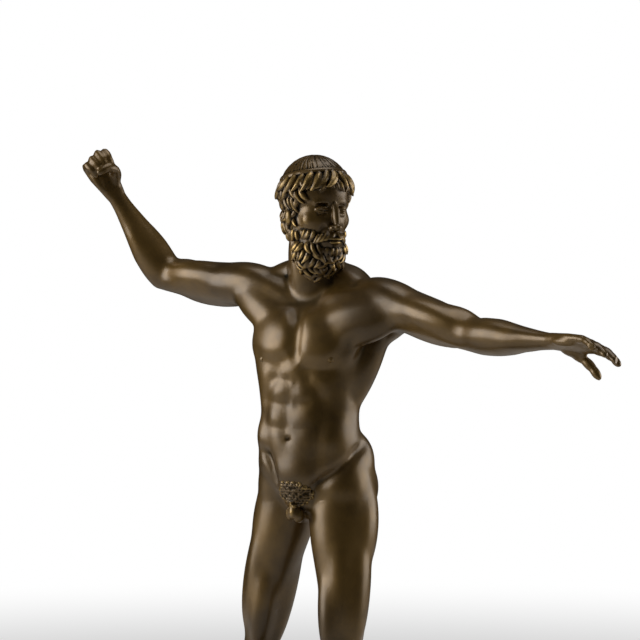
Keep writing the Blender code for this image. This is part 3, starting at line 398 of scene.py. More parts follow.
def leg(clay, hip, thighWay, shinWay, kneeFace, s):
    knee = hip + thighWay * boneLength["thigh"]
    upper = boneFrame(hip, thighWay, kneeFace)
    outer = -s  # the outer side, in a frame that points down
    loft(clay, [
        (0, 0.02, -0.20, 0.33, 0.30, 0.33),
        (0, 0.02, 0.10, 0.37, 0.33, 0.37),
        (0, 0.01, 0.45, 0.345, 0.31, 0.33),
        (0, 0.00, 0.90, 0.27, 0.26, 0.25),
        (0, 0.00, 1.35, 0.21, 0.21, 0.19),
        (0, 0.00, 1.70, 0.18, 0.17, 0.17),
        (0, 0.00, 1.92, 0.17, 0.15, 0.16),
    ], upper)
    muscle(clay, (0.03 * outer, -0.14, -0.10), (0.0, -0.10, 1.62), 0.17, 0.19, upper)
    muscle(clay, (0.20 * outer, -0.02, 0.05), (0.12 * outer, -0.06, 1.66), 0.17, 0.21, upper)
    muscle(clay, (-0.10 * outer, -0.10, 0.55), (-0.12 * outer, -0.08, 1.76), 0.15, 0.17, upper)
    muscle(clay, (-0.12 * outer, 0.05, -0.15), (-0.10 * outer, 0.02, 1.15), 0.17, 0.22, upper)
    muscle(clay, (0.10 * outer, 0.16, 0.10), (0.12 * outer, 0.10, 1.75), 0.15, 0.17, upper)
    muscle(clay, (-0.08 * outer, 0.16, 0.10), (-0.12 * outer, 0.10, 1.78), 0.14, 0.16, upper)
    muscle(clay, (0.27 * outer, 0.03, -0.28), (0.21 * outer, 0.0, 0.80), 0.17, 0.23, upper)
    ellipsoid(clay, (0, -0.12, 1.82), (0.11, 0.08, 0.13), upper)
    ellipsoid(clay, (0, -0.07, 1.99), (0.12, 0.09, 0.10), upper)
    muscle(clay, (0, 0.06, 1.45), (0, 0.07, 2.25), 0.165, 0.15, upper)
    lower = boneFrame(knee, shinWay, kneeFace)
    loft(clay, [
        (0, 0.0, -0.10, 0.185, 0.16, 0.17),
        (0, 0.0, 0.12, 0.185, 0.16, 0.18),
        (0, 0.0, 0.40, 0.20, 0.15, 0.21),
        (0, 0.0, 0.80, 0.165, 0.13, 0.18),
        (0, 0.0, 1.20, 0.125, 0.115, 0.14),
        (0, 0.0, 1.50, 0.105, 0.105, 0.13),
        (0, 0.0, 1.76, 0.12, 0.12, 0.14),
    ], lower)
    muscle(clay, (-0.10 * outer, 0.13, -0.10), (-0.06 * outer, 0.11, 0.92), 0.14, 0.165, lower)
    muscle(clay, (0.10 * outer, 0.12, -0.10), (0.06 * outer, 0.11, 0.84), 0.13, 0.155, lower)
    muscle(clay, (0.09 * outer, -0.05, 0.05), (0.02 * outer, -0.05, 1.20), 0.10, 0.10, lower)
    muscle(clay, (0, 0.12, 0.7), (0, 0.12, 1.75), 0.06, 0.07, lower)
    ellipsoid(clay, (0.10 * outer, 0.01, 1.68), (0.055, 0.07, 0.075), lower)
    ellipsoid(clay, (-0.10 * outer, -0.01, 1.64), (0.055, 0.07, 0.075), lower)
    return knee + shinWay * boneLength["shin"]


def foot(clay, ankle, yaw, s, blended=True):  # flat on the ground, toes towards yaw
    ahead = heading(yaw, 0)
    up = Vector((0, 0, 1))
    within = Matrix((up.cross(ahead), -ahead, up)).transposed().to_4x4()
    within.translation = Vector((ankle.x, ankle.y, 0))
    inner = -s
    if blended:  # heel, ankle and instep
        muscle(clay, (0, 0.22, 0.13), (0.01 * inner, -0.22, 0.15), 0.155, 0.16, within, face=up)
        muscle(clay, (0, 0.08, 0.36), (0.04 * inner, -0.60, 0.14), 0.15, 0.14, within, face=up)
        ellipsoid(clay, (0, 0.03, 0.30), (0.15, 0.17, 0.18), within)
    muscle(clay, (0.01 * inner, 0.12, 0.12), (0.03 * inner, -0.66, 0.09), 0.18, 0.115, within, face=up)
    muscle(clay, (-0.05 * inner, 0.05, 0.10), (-0.08 * inner, -0.55, 0.07), 0.12, 0.08, within, face=up)
    ellipsoid(clay, (0.10 * inner, -0.55, 0.09), (0.09, 0.13, 0.09), within)
    toes = ((0.115, -0.87, 0.066), (0.025, -0.88, 0.048), (-0.045, -0.84, 0.045), (-0.11, -0.78, 0.042),
            (-0.165, -0.70, 0.040))
    for x, y, r in toes:
        muscle(clay, (x * inner * 0.8, -0.50, 0.085), (x * inner, y, r), r * 1.08, r, within,
               face=up, overrun=1.15)


# Masses that hair and beard lie on, in the head's frame: centre and radii
hairMass = {
    "cap": ((0, 0.05, 0.20), (0.362, 0.455, 0.395)),
    "nape": ((0, 0.19, -0.10), (0.275, 0.26, 0.32)),
    "beard": ((0, -0.095, -0.43), (0.280, 0.270, 0.330)),
    "jaw": ((0, -0.01, -0.15), (0.300, 0.270, 0.370)),
    "cheek": ((0, -0.12, -0.08), (0.290, 0.275, 0.385)),
    "mouth": ((0, -0.21, -0.33), (0.190, 0.225, 0.200)),
}


def head(clay):
    within = headFrame()
    # skull, face, jaw and brow
    ellipsoid(clay, (0, 0.05, 0.16), (0.345, 0.44, 0.38), within)
    ellipsoid(clay, (0, -0.12, -0.08), (0.285, 0.27, 0.38), within)
    ellipsoid(clay, (0, -0.20, -0.34), (0.20, 0.19, 0.20), within)
    ellipsoid(clay, (0, -0.17, 0.22), (0.28, 0.23, 0.20), within)
    for s in (1, -1):  # cheekbones and brow ridges
        ellipsoid(clay, (0.160 * s, -0.200, -0.11), (0.130, 0.115, 0.130), within, turn=(0, 25 * s, 0))
        muscle(clay, (0.045 * s, -0.375, 0.075), (0.220 * s, -0.285, 0.072), 0.036, 0.044, within)
    ellipsoid(clay, (0, -0.370, -0.30), (0.12, 0.07, 0.09), within)
    for name in ("cap", "nape", "jaw", "beard", "mouth"):
        ellipsoid(clay, *hairMass[name], within)


def features(clay):  # nose, eyes, lips and ears, of the plainest proportions
    within = headFrame()
    muscle(clay, (0, -0.355, 0.10), (0, -0.455, -0.19), 0.042, 0.060, within)
    ellipsoid(clay, (0, -0.465, -0.185), (0.046, 0.050, 0.040), within)
    for s in (1, -1):
        ellipsoid(clay, (0.045 * s, -0.425, -0.195), (0.034, 0.046, 0.032), within)
        eye = Vector((0.125 * s, -0.298, 0))
        ellipsoid(clay, eye, (0.062, 0.060, 0.050), within)
        for height, thick in ((0.026, 0.014), (-0.024, 0.010)):
            lid = [eye + Vector((0.072 * t, -0.066 + 0.045 * t * t + 0.012 * t * s, height * (1 - t * t)))
                   for t in (i / 4 - 1 for i in range(9))]
            tube(clay, lid, [Vector((0, 0, thick))] * 9, [Vector((0, -thick, 0))] * 9, within, segments=6)
        ellipsoid(clay, (0.335 * s, 0.03, -0.09), (0.035, 0.055, 0.08), within)
    muscle(clay, (-0.085, -0.425, -0.312), (0.085, -0.425, -0.312), 0.018, 0.045, within)
    muscle(clay, (-0.070, -0.420, -0.350), (0.070, -0.420, -0.350), 0.022, 0.046, within)


def onMass(name, around, up):  # a point of a mass and its normal
    # both angles are in degrees; around is 0 at the face and 90 at the left ear
    centre, radii = hairMass[name]
    around = math.radians(around)
    up = math.radians(up)
    ball = Vector((math.sin(around) * math.cos(up), -math.cos(around) * math.cos(up), math.sin(up)))
    point = Vector(centre) + Vector(a * b for a, b in zip(ball, radii))
    return point, Vector(a / b for a, b in zip(ball, radii)).normalized()


def lock(clay, mass, around, up, length, width, hook, lift):
    # laid on a mass: it runs down, bends to one side by the hook's degrees and ends in a standing tip
    steps = 9
    radii = hairMass[mass][1]
    turn = math.radians(abs(hook))
    side = math.copysign(1, hook)
    path = []
    outs = []
    for i in range(steps + 1):
        t = i / steps
        down = length / turn * math.sin(turn * t)
        across = side * length / turn * (1 - math.cos(turn * t))
        height = up - math.degrees(down / radii[2])
        girth = (radii[0] + radii[1]) / 2 * max(0.25, math.cos(math.radians(height)))
        point, normal = onMass(mass, around + math.degrees(across / girth), height)
        path.append(point + normal * width * (lift * t * t - 0.35 * (1 - t)))
        outs.append(normal)
    ways = [(path[min(i + 1, steps)] - path[max(i - 1, 0)]).normalized() for i in range(steps + 1)]
    sizes = [width * (0.6 + 0.4 * math.sin(math.pi * (i / steps) ** 0.8)) * (1 - 0.75 * (i / steps) ** 4)
             for i in range(steps + 1)]
    tube(clay, path, [n.cross(w) * r for n, w, r in zip(outs, ways, sizes)],
         [n * r * 1.1 for n, r in zip(outs, sizes)], headFrame())


hairCap = {
    "bandUp": (24, 13),             # degrees: at the ears, and more at the brow
    "band": (0.036, 0.022),         # half width, half thickness
    "bandSteps": 60,
    "bandSunk": 0.004,
    "strands": 110,
    "strand": (0.008, 0.0125),
    "strandSunk": 0.0065,
    "strandWave": 5,                # degrees to either side
    "strandTwist": 14,
    "crown": 88,                    # where the strands start, degrees up
}

# Rows of locks: mass, height in degrees (none: under the band), first and last place around it, length,
# half width, hook, lift of the tip
hairRows = [
    ("cap", None, -112, 112, 0.29, 0.048, 58, 0.8),
    ("cap", 22, -66, 66, 0.15, 0.034, 55, 0.7),
    ("cap", None, 112, 248, 0.20, 0.038, 50, 0.5),
    ("cap", 7, 58, 302, 0.22, 0.037, 55, 0.5),
    ("cap", -11, 62, 298, 0.21, 0.036, 60, 0.6),
    ("cap", -30, 74, 286, 0.20, 0.036, 60, 0.6),
    ("nape", 16, 66, 294, 0.18, 0.035, 60, 0.6),
    ("nape", -8, 66, 294, 0.18, 0.035, 60, 0.7),
    ("nape", -32, 72, 288, 0.16, 0.035, 65, 0.7),
]
hairSides = [
    ("jaw", 46, 76, 150, 0.17, 0.034, 55, 0.6),
    ("jaw", 28, 76, 150, 0.17, 0.034, 55, 0.6),
    ("jaw", 10, 80, 150, 0.17, 0.034, 55, 0.7),
]
beardRows = [
    ("beard", -64, -105, 105, 0.15, 0.038, 60, 1.1),
    ("beard", -48, -120, 120, 0.15, 0.037, 60, 1.1),
    ("beard", -33, -135, 135, 0.15, 0.036, 60, 1.1),
    ("beard", -18, -130, 130, 0.15, 0.036, 60, 1.1),
    ("beard", -3, -130, 130, 0.15, 0.035, 60, 1.0),
    ("mouth", -30, -75, 75, 0.13, 0.032, 50, 0.9),
    ("mouth", -52, -90, 90, 0.13, 0.034, 50, 0.9),
]
beardSides = [
    ("beard", 12, 26, 125, 0.15, 0.034, 60, 1.0),
    ("jaw", -50, 70, 155, 0.15, 0.034, 60, 0.9),
    ("jaw", -32, 72, 155, 0.15, 0.034, 60, 0.9),
    ("jaw", -14, 76, 150, 0.15, 0.034, 60, 0.8),
    ("cheek", -52, 26, 92, 0.14, 0.033, 60, 0.9),
    ("cheek", -38, 34, 92, 0.14, 0.032, 60, 0.8),
    ("cheek", -24, 42, 92, 0.13, 0.030, 60, 0.7),
]


def bandHeight(around):
    ears, brow = hairCap["bandUp"]
    return ears + brow * math.cos(math.radians(around))


def locks(clay, rows, sides, seed, parting=None):  # the first row of hair hangs to both sides of the parting
    dice = random.Random(seed)
    mirrored = [(mass, up, -last, -first, *rest) for mass, up, first, last, *rest in sides]
    for row, (mass, up, first, last, length, width, hook, lift) in enumerate(rows + sides + mirrored):
        radii = hairMass[mass][1]
        ring = math.radians(last - first) * (radii[0] + radii[1]) / 2 * math.cos(math.radians(up or 30))
        count = max(2, round(ring / (width * 1.9)))
        for i in range(count):
            around = first + (last - first) * (i + 0.5 + 0.25 * (row % 2)) / count
            side = 1 if math.sin(0.9 * i + 2 * row) > 0 else -1
            if parting is not None and row == 0:
                side = 1 if around > parting else -1
            top = bandHeight(around) - 3 if up is None else up
            lock(clay, mass, around, top + 5 * (dice.random() - 0.5), length * (0.8 + 0.35 * dice.random()),
                 width * (0.85 + 0.35 * dice.random()), side * hook * (0.6 + 0.8 * dice.random()),
                 lift * (0.6 + 0.8 * dice.random()))


def band(clay):  # around the cap
    steps = hairCap["bandSteps"]
    width, thickness = hairCap["band"]
    ring = [onMass("cap", 360 * i / steps, bandHeight(360 * i / steps)) for i in range(steps)]
    ring.append(ring[0])
    ways = [(ring[(i + 1) % steps][0] - ring[(i - 1) % steps][0]).normalized() for i in range(steps + 1)]
    tube(clay, [p - n * hairCap["bandSunk"] for p, n in ring],
         [n.cross(w) * width for (p, n), w in zip(ring, ways)],
         [n * thickness for p, n in ring], headFrame())


def strands(clay):  # combed from the crown to the band
    dice = random.Random(2)
    width, thickness = hairCap["strand"]
    crown = hairCap["crown"]
    for i in range(hairCap["strands"]):
        start = 360 * i / hairCap["strands"]
        wave = 2 * hairCap["strandWave"] * dice.random() - hairCap["strandWave"]
        path = [onMass("cap", start + wave * math.sin(3 * t) + hairCap["strandTwist"] * t * t,
                       crown - (crown - bandHeight(start)) * t)
                for t in (0.06, 0.2, 0.35, 0.5, 0.65, 0.8, 0.96)]
        ways = [(path[min(j + 1, 6)][0] - path[max(j - 1, 0)][0]).normalized() for j in range(7)]
        sizes = [0.3 + 0.9 * j / 6 for j in range(7)]
        tube(clay, [p - n * hairCap["strandSunk"] for p, n in path],
             [n.cross(w) * width * r for (p, n), w, r in zip(path, ways, sizes)],
             [n * thickness for p, n in path], headFrame(), segments=6)


def hair(clay):
    locks(clay, hairRows, hairSides, 5, parting=8)
    band(clay)
    strands(clay)


def beard(clay):
    locks(clay, beardRows, beardSides, 11)
    for s in (1, -1):
        for i in range(5):  # moustache
            lock(clay, "mouth", s * (7 + 13 * i), 27 - 2 * i, 0.15, 0.027, s * (115 - 14 * i), 0.5)
        for i in range(3):  # the tuft under the lip
            lock(clay, "mouth", s * (9 + 17 * i), -24, 0.13, 0.038, s * 30, 1.2)


def bodyMasses(clay):
    torso(clay)
    neck(clay)
    wrists = [arm(clay, *limb) for limb in zip(pose["shoulders"], pose["upperArms"], pose["forearms"],
                                               pose["biceps"], pose["palms"], (1, -1))]
    ankles = [leg(clay, *limb) for limb in zip(pose["hips"], pose["thighs"], pose["shins"],
                                               pose["knees"], (1, -1))]
    for ankle, yaw, s in zip(ankles, pose["feet"], (1, -1)):
        foot(clay, ankle, yaw, s)
    return wrists, ankles


def handsAndFeet(clay, wrists, ankles):
    left, right = wrists
    hand(clay, left, (8, 14, 12), (5, 10, 10), (0.48, -0.25, 0.85), (0, -1, 0))
    hand(clay, right, (70, 75, 55), (5, 45, 40), (0.10, -0.78, 0.60), (-1, -0.1, 0))
    for ankle, yaw, s in zip(ankles, pose["feet"], (1, -1)):
        foot(clay, ankle, yaw, s, blended=False)


# Carving: grooves drawn on the skin as seen from one side: where from, (across, height) points, width, depth
bodyGrooves = [
    # breastbone and the line down to the navel
    (photoAzimuth, [(-.15, 5.98), (-.165, 5.85), (-.175, 5.70), (-.19, 5.54), (-.205, 5.34)], 0.085, 0.040),
    (photoAzimuth, [(-.215, 5.30), (-.23, 5.20), (-.245, 5.02), (-.27, 4.84), (-.285, 4.66), (-.285, 4.50),
                    (-.29, 4.36)], 0.085, 0.016),
    # under the chest
    (photoAzimuth, [(-.25, 5.42), (-.32, 5.39), (-.41, 5.37), (-.52, 5.39), (-.61, 5.46),
                    (-.66, 5.58)], 0.10, 0.024),
    (photoAzimuth, [(-.15, 5.38), (-.066, 5.325), (.083, 5.30), (.20, 5.325), (.30, 5.44),
                    (.42, 5.61), (.56, 5.75)], 0.080, 0.030),
    # across the belly
    (photoAzimuth, [(-.24, 5.20), (-.33, 5.18), (-.50, 5.21)], 0.060, 0.020),
    (photoAzimuth, [(-.24, 4.93), (-.36, 4.92), (-.52, 4.94)], 0.070, 0.022),
    (photoAzimuth, [(-.26, 4.67), (-.36, 4.66), (-.52, 4.68)], 0.055, 0.012),
    (0, [(0.03, 5.17), (0.15, 5.155), (0.29, 5.20)], 0.070, 0.012),
    (0, [(0.03, 4.93), (0.15, 4.925), (0.30, 4.96)], 0.070, 0.016),
    (0, [(0.03, 4.67), (0.15, 4.66), (0.29, 4.70)], 0.060, 0.008),
    # rib arch and the outer border of the belly
    (0, [(0.10, 5.34), (0.20, 5.24), (0.33, 5.05), (0.42, 4.88)], 0.09, 0.022),
    (0, [(-0.10, 5.34), (-0.20, 5.24), (-0.33, 5.05), (-0.42, 4.88)], 0.09, 0.022),
    (0, [(0.36, 5.05), (0.365, 4.75), (0.34, 4.45), (0.24, 4.12)], 0.10, 0.020),
    (0, [(-0.36, 5.05), (-0.365, 4.75), (-0.34, 4.45), (-0.24, 4.12)], 0.10, 0.020),
    # hip to groin, navel, flank
    (photoAzimuth, [(-.60, 4.44), (-.51, 4.36), (-.46, 4.25), (-.42, 4.12), (-.37, 3.98)], 0.060, 0.048),
    (photoAzimuth, [(.60, 4.50), (.52, 4.43), (.45, 4.36), (.376, 4.29), (.265, 4.20), (.12, 4.10),
                    (0.0, 4.00), (-.10, 3.86)], 0.060, 0.052),
    (photoAzimuth, [(-.280, 4.550), (-.278, 4.535)], 0.030, 0.11),
    (60, [(.36, 5.62), (.34, 5.40), (.30, 5.15), (.22, 4.90)], 0.10, 0.024),
    # the back
    (180, [(0, 6.20), (0, 5.60), (0, 5.00), (0, 4.50), (0, 4.30)], 0.10, 0.034),
    (180, [(0, 4.28), (0, 4.00), (0, 3.70)], 0.05, 0.08),
    (180, [(0.22, 6.02), (0.20, 5.75), (0.30, 5.48), (0.52, 5.42)], 0.10, 0.026),
    (180, [(-0.22, 6.02), (-0.20, 5.75), (-0.30, 5.48), (-0.52, 5.42)], 0.10, 0.026),
]
faceGrooves = [  # seen by someone who faces the head, and mirrored: brow, under the eye, beside the mouth
    ([(0.065, 0.015), (0.125, 0.030), (0.195, 0.010)], 0.050, 0.050),
    ([(0.075, -0.020), (0.125, -0.040), (0.185, -0.025)], 0.035, 0.022),
    ([(0.085, -0.16), (0.125, -0.22), (0.150, -0.30)], 0.030, 0.018),
]


def smoothPath(points, perSpan=6):  # a curve through the points
    points = [Vector(p) for p in points]
    ends = [points[0] * 2 - points[1]] + points + [points[-1] * 2 - points[-2]]
    path = []
    for a, b, c, d in zip(ends, ends[1:], ends[2:], ends[3:]):
        for i in range(perSpan):
            t = i / perSpan
            path.append(0.5 * (2 * b + (c - a) * t + (2 * a - 5 * b + 4 * c - d) * t * t
                               + (3 * b - a - 3 * c + d) * t ** 3))
    return path + [points[-1]]


def carve(points, normals, tree, seenFrom, path, width, depth):  # a soft groove that runs out at both ends
    ahead = seenFrom.to_3x3() @ Vector((0, 1, 0))
    line = [tree.ray_cast(seenFrom @ Vector((p.x, -4, p.y)), ahead)[0]
            for p in smoothPath([(x, z, 0) for x, z in path])]
    line = np.array([p for p in line if p is not None])
    if len(line) < 2:
        return
    near = ((points > line.min(0) - 2.5 * width) & (points < line.max(0) + 2.5 * width)).all(1)
    ids = np.nonzero(near)[0]
    chosen = points[ids]
    best = np.full(len(ids), 1e9)
    along = np.zeros(len(ids))
    steps = len(line) - 1
    for i in range(steps):
        a = line[i]
        ab = line[i + 1] - a
        t = np.clip(((chosen - a) @ ab) / max(ab @ ab, 1e-12), 0, 1)
        d = np.linalg.norm(chosen - a - t[:, None] * ab, axis=1)
        closer = d < best
        best[closer] = d[closer]
        along[closer] = ((i + t) / steps)[closer]
    ends = np.clip(np.minimum(along, 1 - along) * 5, 0, 1)
    facing = np.clip(normals[ids] @ np.array(-ahead) * 3 + 0.6, 0, 1)
    amount = depth * np.exp(-(best / width) ** 2) * (0.1 + 0.9 * ends) * facing
    points[ids] -= normals[ids] * amount[:, None]


def meshArrays(mesh):
    points = np.zeros(len(mesh.vertices) * 3)
    mesh.vertices.foreach_get("co", points)
    normals = np.zeros(len(mesh.vertices) * 3)
    mesh.vertices.foreach_get("normal", normals)
    return points.reshape(-1, 3), normals.reshape(-1, 3)


def standing():  # from units to metres, on the plinth
    z = plinthTop + figure["footGap"] - figure["soleTrim"]
    return Matrix.Translation((*figure["standAt"], z)) @ Matrix.Scale(unit, 4)


def carveAll(mesh, grooves):  # grooves: the frame they are seen from, path, width, depth
    points, normals = meshArrays(mesh)
    lift = np.array(standing().translation)
    points = (points - lift) / unit
    tree = BVHTree.FromPolygons(points.tolist(), [p.vertices[:] for p in mesh.polygons])
    for seenFrom, path, width, depth in grooves:
        carve(points, normals, tree, seenFrom, path, width, depth)
    mesh.vertices.foreach_set("co", (points * unit + lift).ravel())
    mesh.update()


def baked(obj):
    mesh = bpy.data.meshes.new_from_object(obj.evaluated_get(bpy.context.evaluated_depsgraph_get()))
    obj.modifiers.clear()
    obj.data = mesh
    return mesh


def modelled(name, clay, old=None):  # an object out of the clay, and of an old object's mesh if there is one
    bmesh.ops.transform(clay, matrix=standing(), verts=clay.verts)
    if old:
        clay.from_mesh(old.data)
    mesh = bpy.data.meshes.new(name)
    clay.to_mesh(mesh)
    clay.free()
    return newObject(name, mesh)


def fuse(obj, voxel, softening, triangles=None):  # one closed skin out of everything in the object
    skin = obj.modifiers.new("fuse", "REMESH")
    skin.mode = "VOXEL"
    skin.voxel_size = voxel
    skin.use_smooth_shade = True
    soften = obj.modifiers.new("soften", "SMOOTH")
    soften.iterations = softening
    baked(obj)
    if triangles:
        reduce = obj.modifiers.new("thin", "DECIMATE")
        reduce.ratio = min(1, triangles / (2 * len(obj.data.polygons)))
        baked(obj)
    print(obj.name, len(obj.data.polygons), "faces")
    return obj


def flatSoles(mesh):
    bm = bmesh.new()
    bm.from_mesh(mesh)
    everything = bm.verts[:] + bm.edges[:] + bm.faces[:]
    sole = (0, 0, plinthTop + figure["footGap"])
    bmesh.ops.bisect_plane(bm, geom=everything, plane_co=sole, plane_no=(0, 0, 1), clear_inner=True)
    bmesh.ops.holes_fill(bm, edges=[e for e in bm.edges if e.is_boundary])
    bm.to_mesh(mesh)
    bm.free()


def averaged(values, edges, degree, rounds):  # each vertex with its neighbours, so many times over
    for _ in range(rounds):
        total = np.zeros_like(values)
        np.add.at(total, edges[:, 0], values[edges[:, 1]])
        np.add.at(total, edges[:, 1], values[edges[:, 0]])
        values = 0.5 * values + 0.5 * total / degree.reshape((-1,) + (1,) * (values.ndim - 1))
    return values


hairRegion = {  # where the hair lies, whose crevices get dark patina and painted shade: centres, and a radius or three
    "ball": ((0, 0, -0.1), 0.85),                        # round the head, in the head's frame
    "bareFace": ((0, -0.38, 0.0), (0.36, 0.34, 0.26)),   # left out of it
    "curls": ((0.0, -0.38, 3.95), 0.24),
    "curlShare": 0.75,
}
reliefRounds = {"bend": 4, "depth": 40, "soften": 2, "hairEdge": 6}


def addMeasure(mesh, name, values):  # a number for each vertex, for the material
    measure = mesh.attributes.new(name, "FLOAT", "POINT")
    measure.data.foreach_set("value", values.astype(np.float32))


def markRelief(mesh):
    # bend of the skin per millimetre and its depth in millimetres, both more than 0 in hollows, and the hair
    points, normals = meshArrays(mesh)
    edges = np.zeros(len(mesh.edges) * 2, dtype=np.int32)
    mesh.edges.foreach_get("vertices", edges)
    edges = edges.reshape(-1, 2)
    degree = np.maximum(np.bincount(edges.ravel(), minlength=len(points)), 1)
    squares = ((points[edges[:, 0]] - points[edges[:, 1]]) ** 2).sum(1)
    spacing = np.zeros(len(points))
    np.add.at(spacing, edges[:, 0], squares)
    np.add.at(spacing, edges[:, 1], squares)
    spacing /= degree
    away = ((averaged(points, edges, degree, reliefRounds["bend"]) - points) * normals).sum(1)
    bend = np.clip(away * 2 / np.maximum(spacing, 1e-9), -1500, 1500) / 1000
    depth = ((averaged(points, edges, degree, reliefRounds["depth"]) - points) * normals).sum(1) * 1000
    addMeasure(mesh, "bend", averaged(bend, edges, degree, reliefRounds["soften"]))
    addMeasure(mesh, "depth", averaged(depth, edges, degree, reliefRounds["soften"]))
    toHead = np.array((standing() @ headFrame()).inverted())
    inHead = points @ toHead[:3, :3].T + toHead[:3, 3]
    middle, reach = hairRegion["ball"]
    hairy = (np.linalg.norm(inHead - middle, axis=1) < reach).astype(float)
    middle, reach = hairRegion["bareFace"]
    bare = (np.linalg.norm((inHead - middle) / reach, axis=1) < 1).astype(float)
    middle, reach = hairRegion["curls"]
    curly = np.linalg.norm((points - np.array(standing() @ Vector(middle))) / unit, axis=1) < reach
    hairy = np.maximum(hairy * (1 - bare), hairRegion["curlShare"] * curly)
    addMeasure(mesh, "hairy", averaged(hairy, edges, degree, reliefRounds["hairEdge"]))


def newObject(name, mesh):
    obj = bpy.data.objects.new(name, mesh)
    scene.collection.objects.link(obj)
    return obj


def castBody():
    clay = bmesh.new()
    ends = bodyMasses(clay)
    rough = fuse(modelled("bodyMasses", clay), figure["roughVoxel"], figure["roughSoftening"])
    carveAll(rough.data, [(Matrix.Rotation(math.radians(yaw), 4, "Z"), *rest) for yaw, *rest in bodyGrooves])
    clay = bmesh.new()
    handsAndFeet(clay, *ends)
    groin(clay)
    body = fuse(modelled("bronzeFigure", clay, rough), figure["bodyVoxel"], figure["bodySoftening"],
                figure["bodyTriangles"])
    flatSoles(body.data)
    bpy.data.objects.remove(rough)
    return body


def castHead():
    clay = bmesh.new()
    head(clay)
    rough = fuse(modelled("headMasses", clay), figure["bodyVoxel"], figure["faceSoftening"])
    carveAll(rough.data, [(headFrame(), [(x * s, z) for x, z in path], width, depth)
                          for path, width, depth in faceGrooves for s in (1, -1)])
    clay = bmesh.new()
    features(clay)
    hair(clay)
    beard(clay)
    made = fuse(modelled("head", clay, rough), figure["headVoxel"], figure["headSoftening"],
                figure["headTriangles"])
    bpy.data.objects.remove(rough)
    return made


def castFigure():
    body = castBody()
    skin = body.data
    tree = BVHTree.FromPolygons([v.co[:] for v in skin.vertices], [p.vertices[:] for p in skin.polygons])
    clay = bmesh.new()
    groinCurls(clay, tree)
    nipples(clay, tree)
    curls = fuse(modelled("curls", clay), figure["headVoxel"], figure["curlSoftening"],
                 figure["curlTriangles"])
    bm = bmesh.new()
    for part in (body, castHead(), curls):
        bm.from_mesh(part.data)
        if part is not body:
            bpy.data.objects.remove(part)
    crumbs = [v for v in bm.verts if len(v.link_faces) < 3]  # left by the thinning
    bmesh.ops.delete(bm, geom=crumbs, context="VERTS")
    bm.to_mesh(body.data)
    bm.free()
    points = meshArrays(body.data)[0]
    low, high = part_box("figure")
    body.data.vertices.foreach_set("co", np.clip(points, low, high).ravel())
    body.data.shade_smooth()
    markRelief(body.data)
    print("figure:", len(body.data.polygons), "faces")
    return body


bronzeFigure = castFigure()


# Materials
def newMaterial(name):
    made = bpy.data.materials.new(name)
    made.use_nodes = True
    return made, made.node_tree, made.node_tree.nodes["Principled BSDF"]


def noise(tree, coords, scale, detail, roughness):
    made = tree.nodes.new("ShaderNodeTexNoise")
    made.inputs["Scale"].default_value = scale
    made.inputs["Detail"].default_value = detail
    made.inputs["Roughness"].default_value = roughness
    tree.links.new(coords, made.inputs["Vector"])
    return made.outputs["Fac"]


def ranged(tree, value, low, high, toLow=0.0, toHigh=1.0):
    made = tree.nodes.new("ShaderNodeMapRange")
    made.interpolation_type = "SMOOTHSTEP"
    for socket, number in zip(("From Min", "From Max", "To Min", "To Max"), (low, high, toLow, toHigh)):
        made.inputs[socket].default_value = number
    tree.links.new(value, made.inputs["Value"])
    return made.outputs["Result"]


def maths(tree, operation, a, b):
    made = tree.nodes.new("ShaderNodeMath")
    made.operation = operation
    for socket, value in zip(made.inputs, (a, b)):
        if isinstance(value, (int, float)):
            socket.default_value = value
        else:
            tree.links.new(value, socket)
    return made.outputs["Value"]


def mixed(tree, factor, a, b):  # two colours
    made = tree.nodes.new("ShaderNodeMix")
    made.data_type = "RGBA"
    tree.links.new(factor, made.inputs["Factor"])
    for socket, value in ((made.inputs["A"], a), (made.inputs["B"], b)):
        if isinstance(value, tuple):
            socket.default_value = (*value, 1)
        else:
            tree.links.new(value, socket)
    return made.outputs["Result"]


def grainGroup():  # fine pits and unevenness of a cast or honed surface, as a height
    group = bpy.data.node_groups.new("surfaceGrain", "ShaderNodeTree")
    for name, kind in (("Coordinates", "NodeSocketVector"), ("Size", "NodeSocketFloat"),
                       ("Pits", "NodeSocketFloat")):
        group.interface.new_socket(name=name, in_out="INPUT", socket_type=kind)
    group.interface.new_socket(name="Height", in_out="OUTPUT", socket_type="NodeSocketFloat")
    group.interface.new_socket(name="Mottle", in_out="OUTPUT", socket_type="NodeSocketFloat")
    given = group.nodes.new("NodeGroupInput")
    result = group.nodes.new("NodeGroupOutput")
    fine = group.nodes.new("ShaderNodeTexNoise")
    fine.inputs["Detail"].default_value = 4
    group.links.new(given.outputs["Coordinates"], fine.inputs["Vector"])
    group.links.new(given.outputs["Size"], fine.inputs["Scale"])
    coarse = group.nodes.new("ShaderNodeTexNoise")
    coarse.inputs["Detail"].default_value = 3
    group.links.new(given.outputs["Coordinates"], coarse.inputs["Vector"])
    group.links.new(maths(group, "MULTIPLY", given.outputs["Size"], 0.12), coarse.inputs["Scale"])
    pits = group.nodes.new("ShaderNodeTexVoronoi")
    group.links.new(given.outputs["Coordinates"], pits.inputs["Vector"])
    group.links.new(maths(group, "MULTIPLY", given.outputs["Size"], 0.45), pits.inputs["Scale"])
    pitted = maths(group, "MULTIPLY", ranged(group, pits.outputs["Distance"], 0.0, 0.22, 1.0, 0.0),
                   given.outputs["Pits"])
    soft = maths(group, "ADD", maths(group, "MULTIPLY", fine.outputs["Fac"], 0.5), coarse.outputs["Fac"])
    group.links.new(maths(group, "SUBTRACT", soft, pitted), result.inputs["Height"])
    group.links.new(coarse.outputs["Fac"], result.inputs["Mottle"])
    return group


surfaceGrain = grainGroup()


